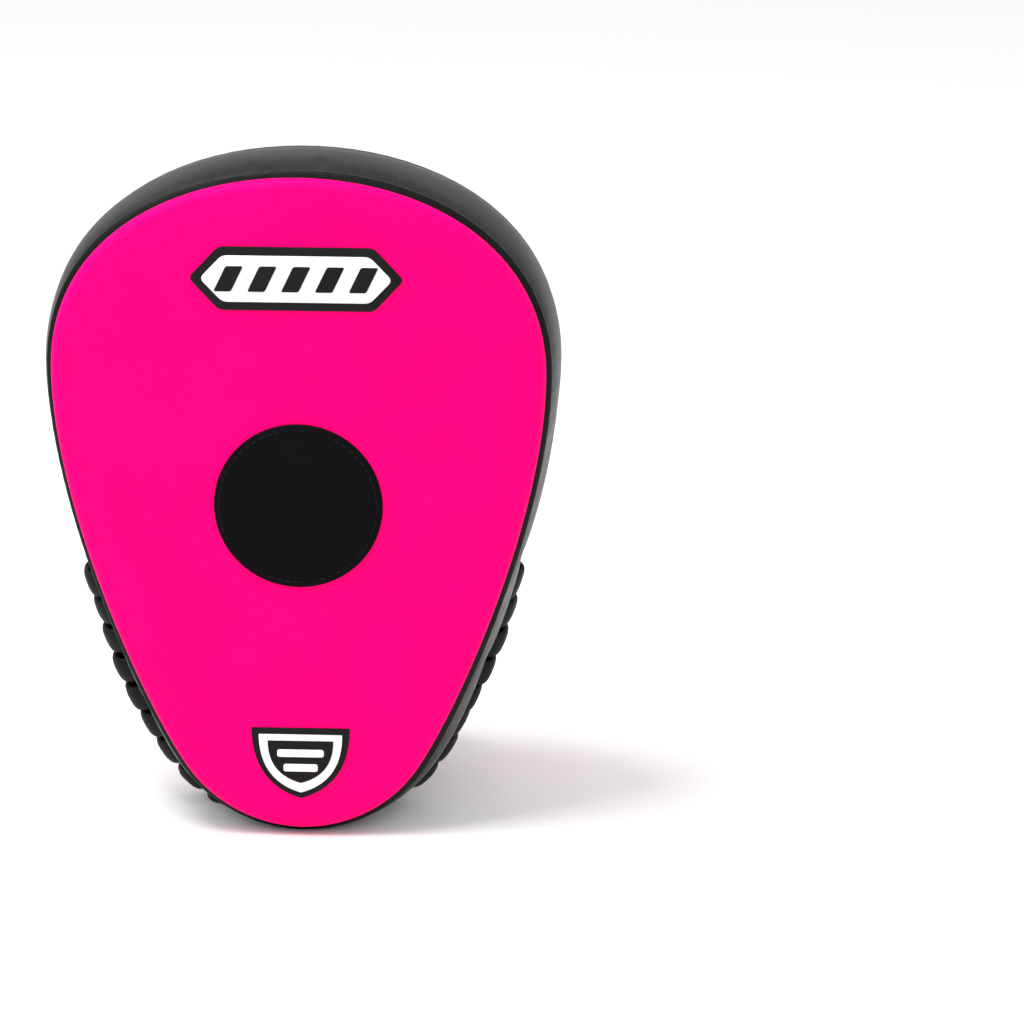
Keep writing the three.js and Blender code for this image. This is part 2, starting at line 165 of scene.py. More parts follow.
def gridUv(points):
    # distance along the middle row and the middle column, in mm
    u = arcLength(points[points.shape[0] // 2])
    v = arcLength(points[:, points.shape[1] // 2])
    return np.stack(np.meshgrid(u, v), -1).reshape(-1, 2)


def outwardVolume(mesh, centre):
    # sum of each face's normal, distance from the centre and area: positive when faces point outwards
    count = len(mesh.polygons)
    normals, middles, areas = np.empty(count * 3), np.empty(count * 3), np.empty(count)
    mesh.polygons.foreach_get("normal", normals)
    mesh.polygons.foreach_get("center", middles)
    mesh.polygons.foreach_get("area", areas)
    away = middles.reshape(-1, 3) - np.array(centre) * mm
    return float((np.sum(normals.reshape(-1, 3) * away, 1) * areas).sum())


def faceOutwards(mesh, centre=(0, 0, 0)):
    if outwardVolume(mesh, centre) < 0:
        mesh.flip_normals()


def addThickness(obj, thickness):
    # a leather's thickness in mm, grown inwards
    solid = obj.modifiers.new("leather", "SOLIDIFY")
    solid.thickness = thickness * mm
    solid.offset = -1
    return solid


def addSheet(name, points, materials, centre, thickness=1.4, wrapCols=False):
    # an open sheet of leather: outside, inside and cut edge each have a material
    rows, cols = points.shape[:2]
    flat = points.reshape(-1, 3)
    mesh = buildMesh(name, flat, gridFaces(rows, cols, wrapCols=wrapCols), gridUv(points))
    obj = linkObject(name, mesh)
    for material in materials:
        mesh.materials.append(material)
    faceOutwards(obj.data, centre)
    solid = addThickness(obj, thickness)
    solid.material_offset = min(1, len(materials) - 1)
    solid.material_offset_rim = min(2, len(materials) - 1)
    bevel = obj.modifiers.new("edge", "BEVEL")
    bevel.width = 0.25 * thickness * mm
    bevel.segments = 2
    bevel.limit_method = "ANGLE"
    bevel.angle_limit = math.radians(50)
    return obj


def pathFrames(path, hint, closed=False):
    # unit tangent, side and up of each path point; up stays near the hint
    if closed:
        tangent = np.roll(path, -1, 0) - np.roll(path, 1, 0)
    else:
        tangent = np.gradient(path, axis=0)
    tangent = unit(tangent)
    side = np.cross(tangent, hint)
    side = unit(side)
    return tangent, side, np.cross(side, tangent)


def sweptPiece(name, path, hint, section, material, closed=False, scale=1.0):
    # a closed section (width, height pairs) carried along a path, scaled at each path point
    hint = np.broadcast_to(np.asarray(hint, float), path.shape)
    tangent, side, up = pathFrames(path, hint, closed)
    grown = np.broadcast_to(scale, len(path))[:, None, None] * np.asarray(section, float)[None]
    points = path[:, None] + side[:, None] * grown[..., :1] + up[:, None] * grown[..., 1:]
    rows, cols = points.shape[:2]
    vertices = points.reshape(-1, 3)
    faces = gridFaces(rows, cols, wrapRows=closed, wrapCols=True)
    uvs = gridUv(points)
    if not closed:
        faces.append(list(range(cols)))
        faces.append(list(range((rows - 1) * cols, rows * cols))[::-1])
    mesh = buildMesh(name, vertices, faces, uvs)
    mesh.materials.append(material)
    faceOutwards(mesh)
    return linkObject(name, mesh)


def roundSection(width, height, power=2.0, count=14):
    # superellipse of the given width and height
    t = np.linspace(0, 2 * np.pi, count, endpoint=False)
    c, s = np.cos(t), np.sin(t)
    x = np.sign(c) * np.abs(c) ** (2 / power) * width / 2
    y = np.sign(s) * np.abs(s) ** (2 / power) * height / 2
    return np.stack([x, y], 1)


def finishPiece(obj, body, replaced=()):
    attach(obj, body)
    if replaced:
        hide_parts(*replaced)
    return obj


def stitches(name, runs, material, body, length=2.3, pitch=3.4, width=0.62, height=0.55):
    # thread dashes along each run of (path, normals): one small capsule per stitch
    lat = np.linspace(0, np.pi, 6)
    lon = np.linspace(0, 2 * np.pi, 6, endpoint=False)
    ring = np.stack(
        [
            np.outer(-np.cos(lat), np.ones(6)) * length / 2,
            np.outer(np.sin(lat) ** 0.6, np.cos(lon)) * width / 2,
            np.outer(np.sin(lat) ** 0.6, np.sin(lon)) * height / 2,
        ],
        -1,
    ).reshape(-1, 3)
    one = np.array(gridFaces(6, 6, wrapCols=True))
    vertices, faces, total = [], [], 0
    for path, normals in runs:
        path, normals = np.asarray(path, float), np.asarray(normals, float)
        reach = arcLength(path)
        count = max(1, int(round(reach[-1] / pitch)))
        at = (np.arange(count) + 0.5) * reach[-1] / count
        place = sampleAt(reach, path, at)
        up = sampleAt(reach, normals, at)
        along = sampleAt(reach, path, at + 0.4) - sampleAt(reach, path, at - 0.4)
        along = unit(along)
        side = np.cross(along, up)
        side = unit(side)
        up = np.cross(side, along)
        block = (
            place[:, None]
            + ring[None, :, :1] * along[:, None]
            + ring[None, :, 1:2] * side[:, None]
            + ring[None, :, 2:] * up[:, None]
        )
        vertices.append(block.reshape(-1, 3))
        offsets = total + np.arange(count)[:, None, None] * len(ring)
        faces.append((one[None] + offsets).reshape(-1, 4))
        total += count * len(ring)
    mesh = buildMesh(name, np.vstack(vertices), np.vstack(faces).tolist())
    mesh.materials.append(material)
    finishPiece(linkObject(name, mesh), body)


# materials

def newMaterial(name):
    material = bpy.data.materials.new(name)
    material.use_nodes = True
    nodes = material.node_tree.nodes
    return material, nodes, material.node_tree.links, nodes["Principled BSDF"]


def addNode(nodes, kind, values=(), **settings):
    # one shader node with its settings, and constant values on its own sockets
    node = nodes.new("ShaderNode" + kind)
    for name, setting in settings.items():
        setattr(node, name, setting)
    for label, value in dict(values).items():
        node.inputs[label].default_value = value
    return node


def wire(links, *joins):
    # each join reads (from node, its output, to node, its input)
    for source, output, target, entry in joins:
        links.new(source.outputs[output], target.inputs[entry])


def newGroup(name, inputs):
    # a shared node group that puts out a varying colour, roughness and height
    group = bpy.data.node_groups.new(name, "ShaderNodeTree")
    for label, value in inputs.items():
        kind = "NodeSocketFloat" if isinstance(value, float) else "NodeSocketColor"
        group.interface.new_socket(label, in_out="INPUT", socket_type=kind).default_value = value
    for label, kind in (("Color", "Color"), ("Roughness", "Float"), ("Height", "Float")):
        group.interface.new_socket(label, in_out="OUTPUT", socket_type="NodeSocket" + kind)
    nodes = group.nodes
    return group, nodes, group.links, nodes.new("NodeGroupInput"), nodes.new("NodeGroupOutput")


def leatherGroup():
    # pebbled grain: cell distance and fine noise give the height, broad noise the tone and gloss
    group, nodes, links, given, put = newGroup("leatherGrain", {
        "Tone": (0.5, 0.5, 0.5, 1), "Worn Tone": (0.6, 0.6, 0.6, 1), "Grain Size": 900.0,
        "Roughness Low": 0.4, "Roughness High": 0.55,
    })
    place = addNode(nodes, "TexCoord")
    cells = addNode(nodes, "TexVoronoi", feature="DISTANCE_TO_EDGE")
    fine = addNode(nodes, "TexNoise", {"Scale": 2600, "Detail": 3})
    broad = addNode(nodes, "TexNoise", {"Scale": 26, "Detail": 4})
    crease = addNode(nodes, "MapRange", {"From Max": 0.12})
    height = addNode(nodes, "Math", {1: 0.35}, operation="MULTIPLY_ADD")
    spread = addNode(nodes, "MapRange", {"From Min": 0.35, "From Max": 0.7})
    tone = addNode(nodes, "Mix", data_type="RGBA")
    gloss = addNode(nodes, "Mix", data_type="FLOAT")
    for texture in (cells, fine, broad):
        wire(links, (place, "Object", texture, "Vector"))
    wire(
        links,
        (given, "Grain Size", cells, "Scale"),
        (cells, "Distance", crease, "Value"),
        (fine, "Fac", height, 0),
        (crease, "Result", height, 2),
        (broad, "Fac", spread, "Value"),
        (spread, "Result", tone, "Factor"),
        (given, "Tone", tone, "A"),
        (given, "Worn Tone", tone, "B"),
        (broad, "Fac", gloss, "Factor"),
        (given, "Roughness Low", gloss, "A"),
        (given, "Roughness High", gloss, "B"),
        (tone, "Result", put, "Color"),
        (gloss, "Result", put, "Roughness"),
        (height, "Value", put, "Height"),
    )
    return group


def napGroup():
    # short fibres: two scales of noise give the height and a light and dark fleck
    group, nodes, links, given, put = newGroup("napFibres", {
        "Tone": (0.5, 0.5, 0.5, 1), "Fleck": (0.6, 0.6, 0.6, 1), "Fibre Size": 1800.0,
    })
    place = addNode(nodes, "TexCoord")
    fibre = addNode(nodes, "TexNoise", {"Detail": 5, "Distortion": 0.6})
    broad = addNode(nodes, "TexNoise", {"Scale": 90})
    both = addNode(nodes, "Math", operation="MULTIPLY")
    spread = addNode(nodes, "MapRange", {"From Min": 0.12, "From Max": 0.42})
    tone = addNode(nodes, "Mix", data_type="RGBA")
    rough = addNode(nodes, "MapRange", {"To Min": 0.8, "To Max": 0.98})
    wire(
        links,
        (place, "Object", fibre, "Vector"),
        (place, "Object", broad, "Vector"),
        (given, "Fibre Size", fibre, "Scale"),
        (fibre, "Fac", both, 0),
        (broad, "Fac", both, 1),
        (both, "Value", spread, "Value"),
        (spread, "Result", tone, "Factor"),
        (given, "Tone", tone, "A"),
        (given, "Fleck", tone, "B"),
        (broad, "Fac", rough, "Value"),
        (tone, "Result", put, "Color"),
        (rough, "Result", put, "Roughness"),
        (fibre, "Fac", put, "Height"),
    )
    return group


leatherGrain = leatherGroup()
napFibres = napGroup()


def groupedMaterial(name, group, values, bump, strength):
    # colour and roughness straight from the group, its height as a bump in mm
    material, nodes, links, shader = newMaterial(name)
    source = addNode(nodes, "Group", values, node_tree=group)
    lift = addNode(nodes, "Bump", {"Distance": bump * mm, "Strength": strength})
    wire(
        links,
        (source, "Height", lift, "Height"),
        (source, "Color", shader, "Base Color"),
        (source, "Roughness", shader, "Roughness"),
        (lift, "Normal", shader, "Normal"),
    )
    return material, shader


def leather(name, tone, worn, grain, roughness, bump, specular=0.4, coat=0.0):
    values = {"Tone": (*tone, 1), "Worn Tone": (*worn, 1), "Grain Size": grain}
    values["Roughness Low"], values["Roughness High"] = roughness
    material, shader = groupedMaterial(name, leatherGrain, values, bump, 0.6)
    shader.inputs["Specular IOR Level"].default_value = specular
    shader.inputs["Coat Weight"].default_value = coat
    shader.inputs["Coat Roughness"].default_value = 0.18
    return material


def nap(name, tone, fleck, size, bump, sheen=0.0):
    values = {"Tone": (*tone, 1), "Fleck": (*fleck, 1), "Fibre Size": size}
    material, shader = groupedMaterial(name, napFibres, values, bump, 0.7)
    shader.inputs["Sheen Weight"].default_value = sheen
    shader.inputs["Specular IOR Level"].default_value = 0.1
    return material


def webbing(name, tone, fleck):
    # woven tape: crossed waves on the piece's own UV, in metres
    material, nodes, links, shader = newMaterial(name)
    place = addNode(nodes, "UVMap")
    warp = addNode(nodes, "TexWave", {"Scale": 260, "Distortion": 0.4}, bands_direction="X")
    weft = addNode(nodes, "TexWave", {"Scale": 330, "Distortion": 0.4}, bands_direction="Y")
    cloth = addNode(nodes, "Math", operation="MULTIPLY")
    tint = addNode(nodes, "Mix", data_type="RGBA")
    tint.inputs["A"].default_value = (*tone, 1)
    tint.inputs["B"].default_value = (*fleck, 1)
    lift = addNode(nodes, "Bump", {"Distance": 0.25 * mm})
    wire(
        links,
        (place, "UV", warp, "Vector"),
        (place, "UV", weft, "Vector"),
        (warp, "Fac", cloth, 0),
        (weft, "Fac", cloth, 1),
        (cloth, "Value", tint, "Factor"),
        (cloth, "Value", lift, "Height"),
        (tint, "Result", shader, "Base Color"),
        (lift, "Normal", shader, "Normal"),
    )
    shader.inputs["Roughness"].default_value = 0.8
    shader.inputs["Specular IOR Level"].default_value = 0.15
    shader.inputs["Sheen Weight"].default_value = 0.05
    return material


pinkTone = (1.0, 0.0, 0.168)
pinkLeather = leather("pinkLeather", pinkTone, (0.97, 0.0, 0.158), 1100, (0.5, 0.62), 0.05, specular=0.03)
pinkGloss = leather(
    "pinkGloss", pinkTone, (0.98, 0.0, 0.16), 1400, (0.14, 0.22), 0.03, specular=0.14, coat=0.06,
)
blackLeather = leather(
    "blackLeather", (0.002, 0.002, 0.0025), (0.0045, 0.0045, 0.005), 1000, (0.28, 0.4), 0.06, specular=0.13,
)
spotLeather = leather(
    "spotLeather", (0.001, 0.0012, 0.002), (0.002, 0.0022, 0.003), 1300, (0.5, 0.64), 0.05, specular=0.06,
)
laceLeather = leather(
    "laceLeather", (0.003, 0.003, 0.0035), (0.007, 0.007, 0.008), 1500, (0.4, 0.58), 0.06, specular=0.12,
)
labelWhite = leather(
    "labelWhite", (0.86, 0.85, 0.86), (0.78, 0.77, 0.79), 1500, (0.42, 0.55), 0.02, specular=0.35,
)
labelBlack = leather(
    "labelBlack", (0.004, 0.004, 0.005), (0.008, 0.008, 0.009), 1500, (0.42, 0.55), 0.02, specular=0.12,
)
suede = nap("suede", (0.62, 0.5, 0.54), (0.82, 0.74, 0.78), 2200, 0.12, sheen=0.2)
cutEdge = nap("cutEdge", (0.86, 0.68, 0.74), (0.95, 0.88, 0.9), 2600, 0.08)
liningCloth = nap("liningCloth", (0.004, 0.004, 0.005), (0.012, 0.012, 0.013), 1700, 0.12, sheen=0.05)
hookPile = nap("hookPile", (0.004, 0.004, 0.005), (0.025, 0.025, 0.027), 1500, 0.5, sheen=0.05)
foamRubber = nap("foamRubber", (0.2, 0.21, 0.22), (0.32, 0.33, 0.35), 1200, 0.2)
threadBlack = nap("threadBlack", (0.003, 0.003, 0.0035), (0.012, 0.012, 0.013), 5000, 0.05)
threadPale = nap("threadPale", (0.95, 0.55, 0.7), (1.0, 0.86, 0.9), 5000, 0.05)
strapWebbing = webbing("strapWebbing", (0.004, 0.004, 0.005), (0.014, 0.014, 0.015))
print("materials made")


# camera, light and floor

view = dict(azimuth=3.2, elevation=16.5, distance=2.5, lens=218.671875, right=85.8, down=0.8)


def placeCamera():
    # the camera looks past the mitt's right side, so that the mitt stands left of centre
    a, e = math.radians(view["azimuth"]), math.radians(view["elevation"])
    away = Vector((math.sin(a) * math.cos(e), -math.cos(a) * math.cos(e), math.sin(e)))
    right = Vector((math.cos(a), math.sin(a), 0))
    up = right.cross(-away)
    middle = Vector((0, faceY, (faceBox[0][2] + faceBox[1][2]) / 2))
    aim = middle + right * view["right"] * mm - up * view["down"] * mm
    data = bpy.data.cameras.new("camera")
    camera = linkObject("camera", data)
    camera.location = aim + away * view["distance"]
    camera.rotation_euler = (-away).to_track_quat("-Z", "Y").to_euler()
    data.sensor_width = 36
    data.lens = view["lens"]
    data.clip_end = 50
    bpy.context.scene.camera = camera


def addLight(name, place, size, power, aim=(0, 0, 0.13)):
    data = bpy.data.lights.new(name, "AREA")
    data.shape = "RECTANGLE"
    data.size, data.size_y = size
    data.energy = power
    light = linkObject(name, data)
    light.location = place
    light.rotation_euler = (Vector(aim) - Vector(place)).to_track_quat("-Z", "Y").to_euler()


def buildStudio():
    world = bpy.data.worlds.new("studio")
    bpy.context.scene.world = world
    world.use_nodes = True
    sky = world.node_tree.nodes["Background"]
    sky.inputs["Color"].default_value = (1, 1, 1, 1)
    sky.inputs["Strength"].default_value = 0.93
    addLight("keyLeft", (-1.3, -0.7, 1.5), (1.1, 1.1), 12)
    addLight("fillRight", (1.6, 0.2, 1.1), (0.7, 1.4), 5)
    addLight("front", (0.1, -2.2, 1.2), (1.6, 1.0), 4)
    addLight("overhead", (-0.42, -0.25, 1.25), (0.8, 0.3), 12, aim=(0, 0, 0.25))
    size = 14
    corners = [(-size, -size, 0), (size, -size, 0), (size, size, 0), (-size, size, 0)]
    mesh = bpy.data.meshes.new("floor")
    mesh.from_pydata(corners, [], [(0, 1, 2, 3)])
    floor = linkObject("floor", mesh)
    material, nodes, links, shader = newMaterial("floorPaper")
    shader.inputs["Base Color"].default_value = (0.86, 0.86, 0.865, 1)
    shader.inputs["Roughness"].default_value = 0.75
    shader.inputs["Specular IOR Level"].default_value = 0.15
    mesh.materials.append(material)
    scene = bpy.context.scene
    scene.view_settings.view_transform = "Standard"
    scene.view_settings.look = "None"
    scene.view_settings.exposure = 0.0


placeCamera()
buildStudio()
print("camera, light and floor placed")


# pad

outline, outlineNormal = padOutline()
outlineLength = np.linalg.norm(np.roll(outline, -1, 0) - outline, axis=1).sum()
padCentre = (0, (faceY + backY) / 2 / mm, 140)


def flareOut(ring, normal):
    # how far the pad's sides spread at its back: most at the wrist end, easing out up to wristFlareEnd
    return pad["wristFlare"] * (1 - smoothStep(ring[:, 1] / pad["wristFlareEnd"])) * np.abs(normal[:, 0])


def onOutline(offset, y, flare=0.0):
    # points offset from the outline along its normal, at depth y in mm; flare is 0 at the face, 1 at the back
    out = np.asarray(offset) + flare * flareOut(outline, outlineNormal)
    ring = outline + outlineNormal * out[..., None]
    depth = np.broadcast_to(y, ring.shape[:1])
    return np.stack([ring[:, 0], depth, ring[:, 1]], 1)


def crownDepth(inset):
    # how far the padded face stands forward at this distance in from the edge: a quarter sine
    share = np.clip(inset / pad["crownReach"], 0, 1)
    return pad["crown"] * np.sin(share * np.pi / 2)


def innerRings(ring, centre, count):
    # rings shrinking to the centre, evenly, for the flat middle of a panel
    share = np.linspace(1, 0, count + 1)[1:-1]
    return [centre + (ring - centre) * s for s in share]


def addPanel(name, rings, centre, material, inside):
    # nested rings joined by quads and closed by a fan at the centre; faces look away from the inside point
    cols = len(rings[0])
    vertices = np.vstack([*rings, [centre]])
    faces = gridFaces(len(rings), cols, wrapCols=True)
    last = (len(rings) - 1) * cols
    faces += [[last + i, last + (i + 1) % cols, len(vertices) - 1] for i in range(cols)]
    mesh = buildMesh(name, vertices, faces, vertices[:, [0, 2]])
    mesh.materials.append(material)
    faceOutwards(mesh, inside)
    return linkObject(name, mesh)


def buildStrikeFace():
    front, seam = faceY / mm, faceY / mm + pad["seamY"]
    r = pad["edgeRound"]
    rings = [onOutline(-1.6, seam + 1.2), onOutline(-0.7, seam + 0.1), onOutline(-0.15, seam - 0.5)]
    for angle in np.linspace(0, 80, 7):
        a = math.radians(angle)
        rings.append(onOutline(-r * (1 - math.cos(a)), front + r * (1 - math.sin(a))))
    for inset in np.linspace(r + 0.6, pad["crownReach"], 9):
        rings.append(onOutline(-inset, front - crownDepth(inset - r)))
    middle = np.array([0, front - crownDepth(pad["crownReach"] - r), 150])
    rings += innerRings(rings[-1], middle, 26)
    obj = addPanel("strikeFace", rings, middle, pinkLeather, padCentre)
    addThickness(obj, 1.4)
    finishPiece(obj, "mitt", ["strike_face"])


def lowShare(z):
    # 1 at the wrist end, easing to 0 where the laced stretch stops
    return smoothStep(1 - z / pad["lowReach"])


def wallProfile(share, z):
    # stand-off of the wall across its depth: wider towards the back, fuller at the wrist end, a full
    # bulge between two sewn lips
    full = (pad["wallBulge"] + pad["lowBulge"] * lowShare(z)) * math.sin(math.pi * share) ** 0.5
    lips = math.exp(-((share - 0.045) / 0.02) ** 2) + 0.6 * math.exp(-((share - 0.955) / 0.02) ** 2)
    tuck = math.exp(-(share / 0.02) ** 2) + math.exp(-((1 - share) / 0.02) ** 2)
    return pad["backFlare"] * share + full + pad["lip"] * lips - 1.2 * tuck


def wallRing(share):
    # the wall's ring at this share of its depth, with soft unevenness and small puckers by the seams
    start = faceY / mm + pad["seamY"] + 0.25
    end = backY / mm - 0.9
    y = start + (end - start) * share
    s = np.arange(len(outline)) * (outlineLength / len(outline))
    soft = 0.3 * math.sin(math.pi * share) * ripple(outline[:, 0], y, outline[:, 1], 19, 1.3)
    pull = math.exp(-(share / 0.14) ** 2) + math.exp(-((1 - share) / 0.14) ** 2)
    waves = np.sin(s * 2 * np.pi / 7.2 + 1.5 * np.sin(s / 31))
    pucker = 0.16 * pull * waves * math.sin(math.pi * share) ** 0.5
    ring = onOutline(wallProfile(share, outline[:, 1]) + soft + pucker, y, share)
    ring[:, 2] = np.maximum(ring[:, 2], 0.05 - sole)
    return ring


def settleCloth(obj, pinned, pressure, frames, cap):
    # leather held along its seams and blown out from inside; each move d is eased to d * cap / (cap + d),
    # so that it stays under the cap, in mm
    scene = bpy.context.scene
    before = np.empty(len(obj.data.vertices) * 3)
    obj.data.vertices.foreach_get("co", before)
    pins = obj.vertex_groups.new(name="seams")
    pins.add(np.flatnonzero(pinned).tolist(), 1.0, "REPLACE")
    cloth = obj.modifiers.new("cloth", "CLOTH")
    cloth.settings.quality = 4
    cloth.settings.vertex_group_mass = "seams"
    cloth.settings.use_pressure = True
    cloth.settings.uniform_pressure_force = pressure
    cloth.settings.shrink_min = -0.003
    cloth.settings.tension_stiffness = 12
    cloth.settings.compression_stiffness = 12
    cloth.settings.bending_stiffness = 12
    cloth.settings.effector_weights.gravity = 0
    cloth.collision_settings.use_collision = False
    cloth.point_cache.frame_end = frames
    for step in range(1, frames + 1):
        scene.frame_set(step)
    graph = bpy.context.evaluated_depsgraph_get()
    after = np.empty_like(before)
    obj.evaluated_get(graph).data.vertices.foreach_get("co", after)
    obj.modifiers.remove(cloth)
    obj.vertex_groups.remove(pins)
    scene.frame_set(1)
    move = (after - before).reshape(-1, 3)
    size = np.linalg.norm(move, axis=1)
    move *= (cap * mm / (cap * mm + size))[:, None]
    obj.data.vertices.foreach_set("co", before + move.ravel())
    obj.data.update()
    print(obj.name, "settled, largest move", round(float(size.max()) / mm, 2), "mm, eased under", cap)


def buildSideWall():
    lip = np.linspace(0, 0.12, 9)
    far = np.linspace(0.88, 1, 9)
    shares = np.concatenate([lip[:-1], np.linspace(0.12, 0.88, 16), far[1:]])
    points = np.array([wallRing(share) for share in shares])
    mesh = buildMesh("sideWall", points.reshape(-1, 3), gridFaces(*points.shape[:2], wrapCols=True))
    mesh.materials.append(blackLeather)
    obj = linkObject("sideWall", mesh)
    faceOutwards(obj.data, padCentre)
    held = np.repeat((shares < 0.1) | (shares > 0.9), len(outline))
    settleCloth(obj, held, 0.6, 14, 0.8)
    floorClamp(obj, 0.05)
    smooth = obj.modifiers.new("smooth", "SUBSURF")
    smooth.levels = smooth.render_levels = 1
    addThickness(obj, 1.6)
    finishPiece(obj, "mitt", ["side_wall"])


def buildBackPanel():
    back, grown = backY / mm, pad["backFlare"]
    rings = [onOutline(grown - 1.8, back - 2.6, 1), onOutline(grown - 1.3, back - 1.2, 1)]
    for angle in np.linspace(0, 80, 5):
        a = math.radians(angle)
        inset = 0.9 + 1.6 * (1 - math.cos(a))
        rings.append(onOutline(grown - inset, back - 1.6 * (1 - math.sin(a)) + 0.2, 1))
    for inset in np.linspace(3.2, 26, 10):
        swell = 0.9 * math.sin(min(1, inset / 16) * math.pi / 2)
        rings.append(onOutline(grown - inset, back + swell, 1))
    middle = np.array([0, back + 0.9, 150])
    rings += innerRings(rings[-1], middle, 24)
    obj = addPanel("backPanel", rings, middle, pinkLeather, padCentre)
    addThickness(obj, 1.2)
    finishPiece(obj, "mitt", ["back_panel"])


def buildPadSeams():
    # black thread across both wall seams, one stitch every 3.6 mm
    runs = []
    for y, offset, lean, flare in (
        (faceY / mm + pad["seamY"] - 0.1, -0.25, -0.6, 0),
        (backY / mm - 0.35, pad["backFlare"] - 1.05, 0.9, 1),
    ):
        ring = onOutline(offset, y, flare)
        ring[:, 2] = np.maximum(ring[:, 2], 0.6 - sole)
        normal = np.stack([outlineNormal[:, 0], np.full(len(outline), lean), outlineNormal[:, 1]], 1)
        runs.append((np.vstack([ring, ring[:1]]), np.vstack([normal, normal[:1]])))
    stitches(
        "padSeamStitches", runs, threadBlack, "mitt",
        length=1.6, pitch=3.1, width=0.6, height=0.5,
    )


def frontY(extra):
    # depth of a trim surface that stands extra mm in front of the flat of the face
    return faceY / mm - crownDepth(pad["crownReach"] - pad["edgeRound"]) - extra


def platePiece(name, outlineXz, thickness, material, standOff=0.0, roundEdge=0.35):
    # a flat plate on the face from a closed outline in x and z, its front edge rounded
    ring = np.asarray(outlineXz, float)
    middle = ring.mean(0)
    along = np.roll(ring, -1, 0) - np.roll(ring, 1, 0)
    along = unit(along)
    normal = np.stack([along[:, 1], -along[:, 0]], 1)
    soft = 0.3 * roundEdge
    levels = [(0, -0.4), (0, thickness - roundEdge), (soft, thickness - soft), (roundEdge, thickness)]
    rings = []
    for inset, out in levels:
        p = ring - normal * inset
        rings.append(np.stack([p[:, 0], np.full(len(p), frontY(standOff + out)), p[:, 1]], 1))
    top = rings[-1]
    centre = np.array([middle[0], frontY(standOff + thickness), middle[1]])
    rings += innerRings(top, centre, 3)
    return addPanel(name, rings, centre, material, (middle[0], frontY(standOff) + 6, middle[1]))


def circlePoints(radius, centre, count=96):
    t = np.linspace(0, 2 * np.pi, count, endpoint=False)
    return np.stack([centre[0] + radius * np.cos(t), centre[1] + radius * np.sin(t)], 1)


spot = dict(radius=34, height=138, stitchInset=2.3)


def buildSpot():
    edge = circlePoints(spot["radius"], (0, spot["height"]))
    disc = platePiece("targetSpot", edge, 1.3, spotLeather, roundEdge=0.7)
    finishPiece(disc, "mitt", ["target_spot"])
    seam = circlePoints(spot["radius"] - spot["stitchInset"], (0, spot["height"]), 160)
    seam = np.vstack([seam, seam[:1]])
    path = np.stack([seam[:, 0], np.full(len(seam), frontY(1.32)), seam[:, 1]], 1)
    out = np.broadcast_to([0.0, -1.0, 0.0], path.shape)
    runs = [(path, out)]
    stitches(
        "spotStitches", runs, threadBlack, "mitt",
        length=2.6, pitch=3.5, width=0.8, height=0.7,
    )


def roundedPolygon(corners, radius, steps=5):
    # each corner becomes a quadratic curve that starts and ends radius away from it
    p = np.asarray(corners, float)
    result = []
    for i in range(len(p)):
        before, here, after = p[i - 1], p[i], p[(i + 1) % len(p)]
        start = here + (before - here) / np.linalg.norm(before - here) * radius
        end = here + (after - here) / np.linalg.norm(after - here) * radius
        t = np.linspace(0, 1, steps)[:, None]
        result.append((1 - t) ** 2 * start + 2 * (1 - t) * t * here + t ** 2 * end)
    return np.vstack(result)


badges = dict(upperZ=232, lowerZ=29)


def lozenge(halfLength, halfHeight, point, centreZ):
    corners = [
        (-halfLength, 0), (-halfLength + point, -halfHeight), (halfLength - point, -halfHeight),
        (halfLength, 0), (halfLength - point, halfHeight), (-halfLength + point, halfHeight),
    ]
    return roundedPolygon([(x, z + centreZ) for x, z in corners], 2.2)


def shieldOutline(halfWidth, halfHeight, centreZ, count=18):
    # two quadratic flanks meeting at the foot, under a straight top
    t = np.linspace(0, 1, count)[:, None]
    foot, knee = np.array([0, -halfHeight]), np.array([halfWidth, -0.6 * halfHeight])
    top = np.array([halfWidth, halfHeight])
    right = (1 - t) ** 2 * foot + 2 * (1 - t) * t * knee + t ** 2 * top
    left = right[::-1][:-1] * [-1, 1]
    return np.vstack([right, left]) + [0, centreZ]


def addPlate(name, edge, thickness, material, node=None, standOff=0.0, roundEdge=0.35):
    plate = platePiece(name, edge, thickness, material, standOff, roundEdge)
    finishPiece(plate, "mitt", [node] if node else [])


def buildUpperBadge():
    # a lozenge with a light mark and five slanted bars
    z = badges["upperZ"]
    addPlate("upperBadge", lozenge(43, 13, 12, z), 0.8, labelBlack, "upper_badge")
    mark = lozenge(38.5, 9.5, 9, z)
    addPlate("upperBadgeMark", mark, 0.5, labelWhite, "upper_badge_mark", 0.7, 0.2)
    for i in range(5):
        x = (i - 2) * 13.5
        bar = [(x - 6, z - 5.2), (x + 1, z - 5.2), (x + 6, z + 5.2), (x - 1, z + 5.2)]
        name = "upperBadgeBar" + str(i + 1)
        addPlate(name, roundedPolygon(bar, 0.9), 0.4, labelBlack, None, 1.1, 0.15)


def buildLowerBadge():
    # a shield with a light ring, a dark core and two light bars
    z = badges["lowerZ"]
    addPlate("lowerBadge", shieldOutline(20, 15, z), 0.8, labelBlack, "lower_badge")
    ring = shieldOutline(17, 12.4, z)
    addPlate("lowerBadgeMark", ring, 0.5, labelWhite, "lower_badge_mark", 0.7, 0.2)
    core = shieldOutline(13.4, 9, z + 0.8)
    addPlate("lowerBadgeCore", core, 0.4, labelBlack, None, 1.1, 0.15)
    for i in range(2):
        middle, half = z + 4.6 - i * 6.2, 9.5 - i * 2.5
        low, high = middle - 1.6, middle + 1.6
        bar = roundedPolygon([(-half, low), (half, low), (half, high), (-half, high)], 1.1)
        addPlate("lowerBadgeBar" + str(i + 1), bar, 0.35, labelWhite, None, 1.45, 0.12)


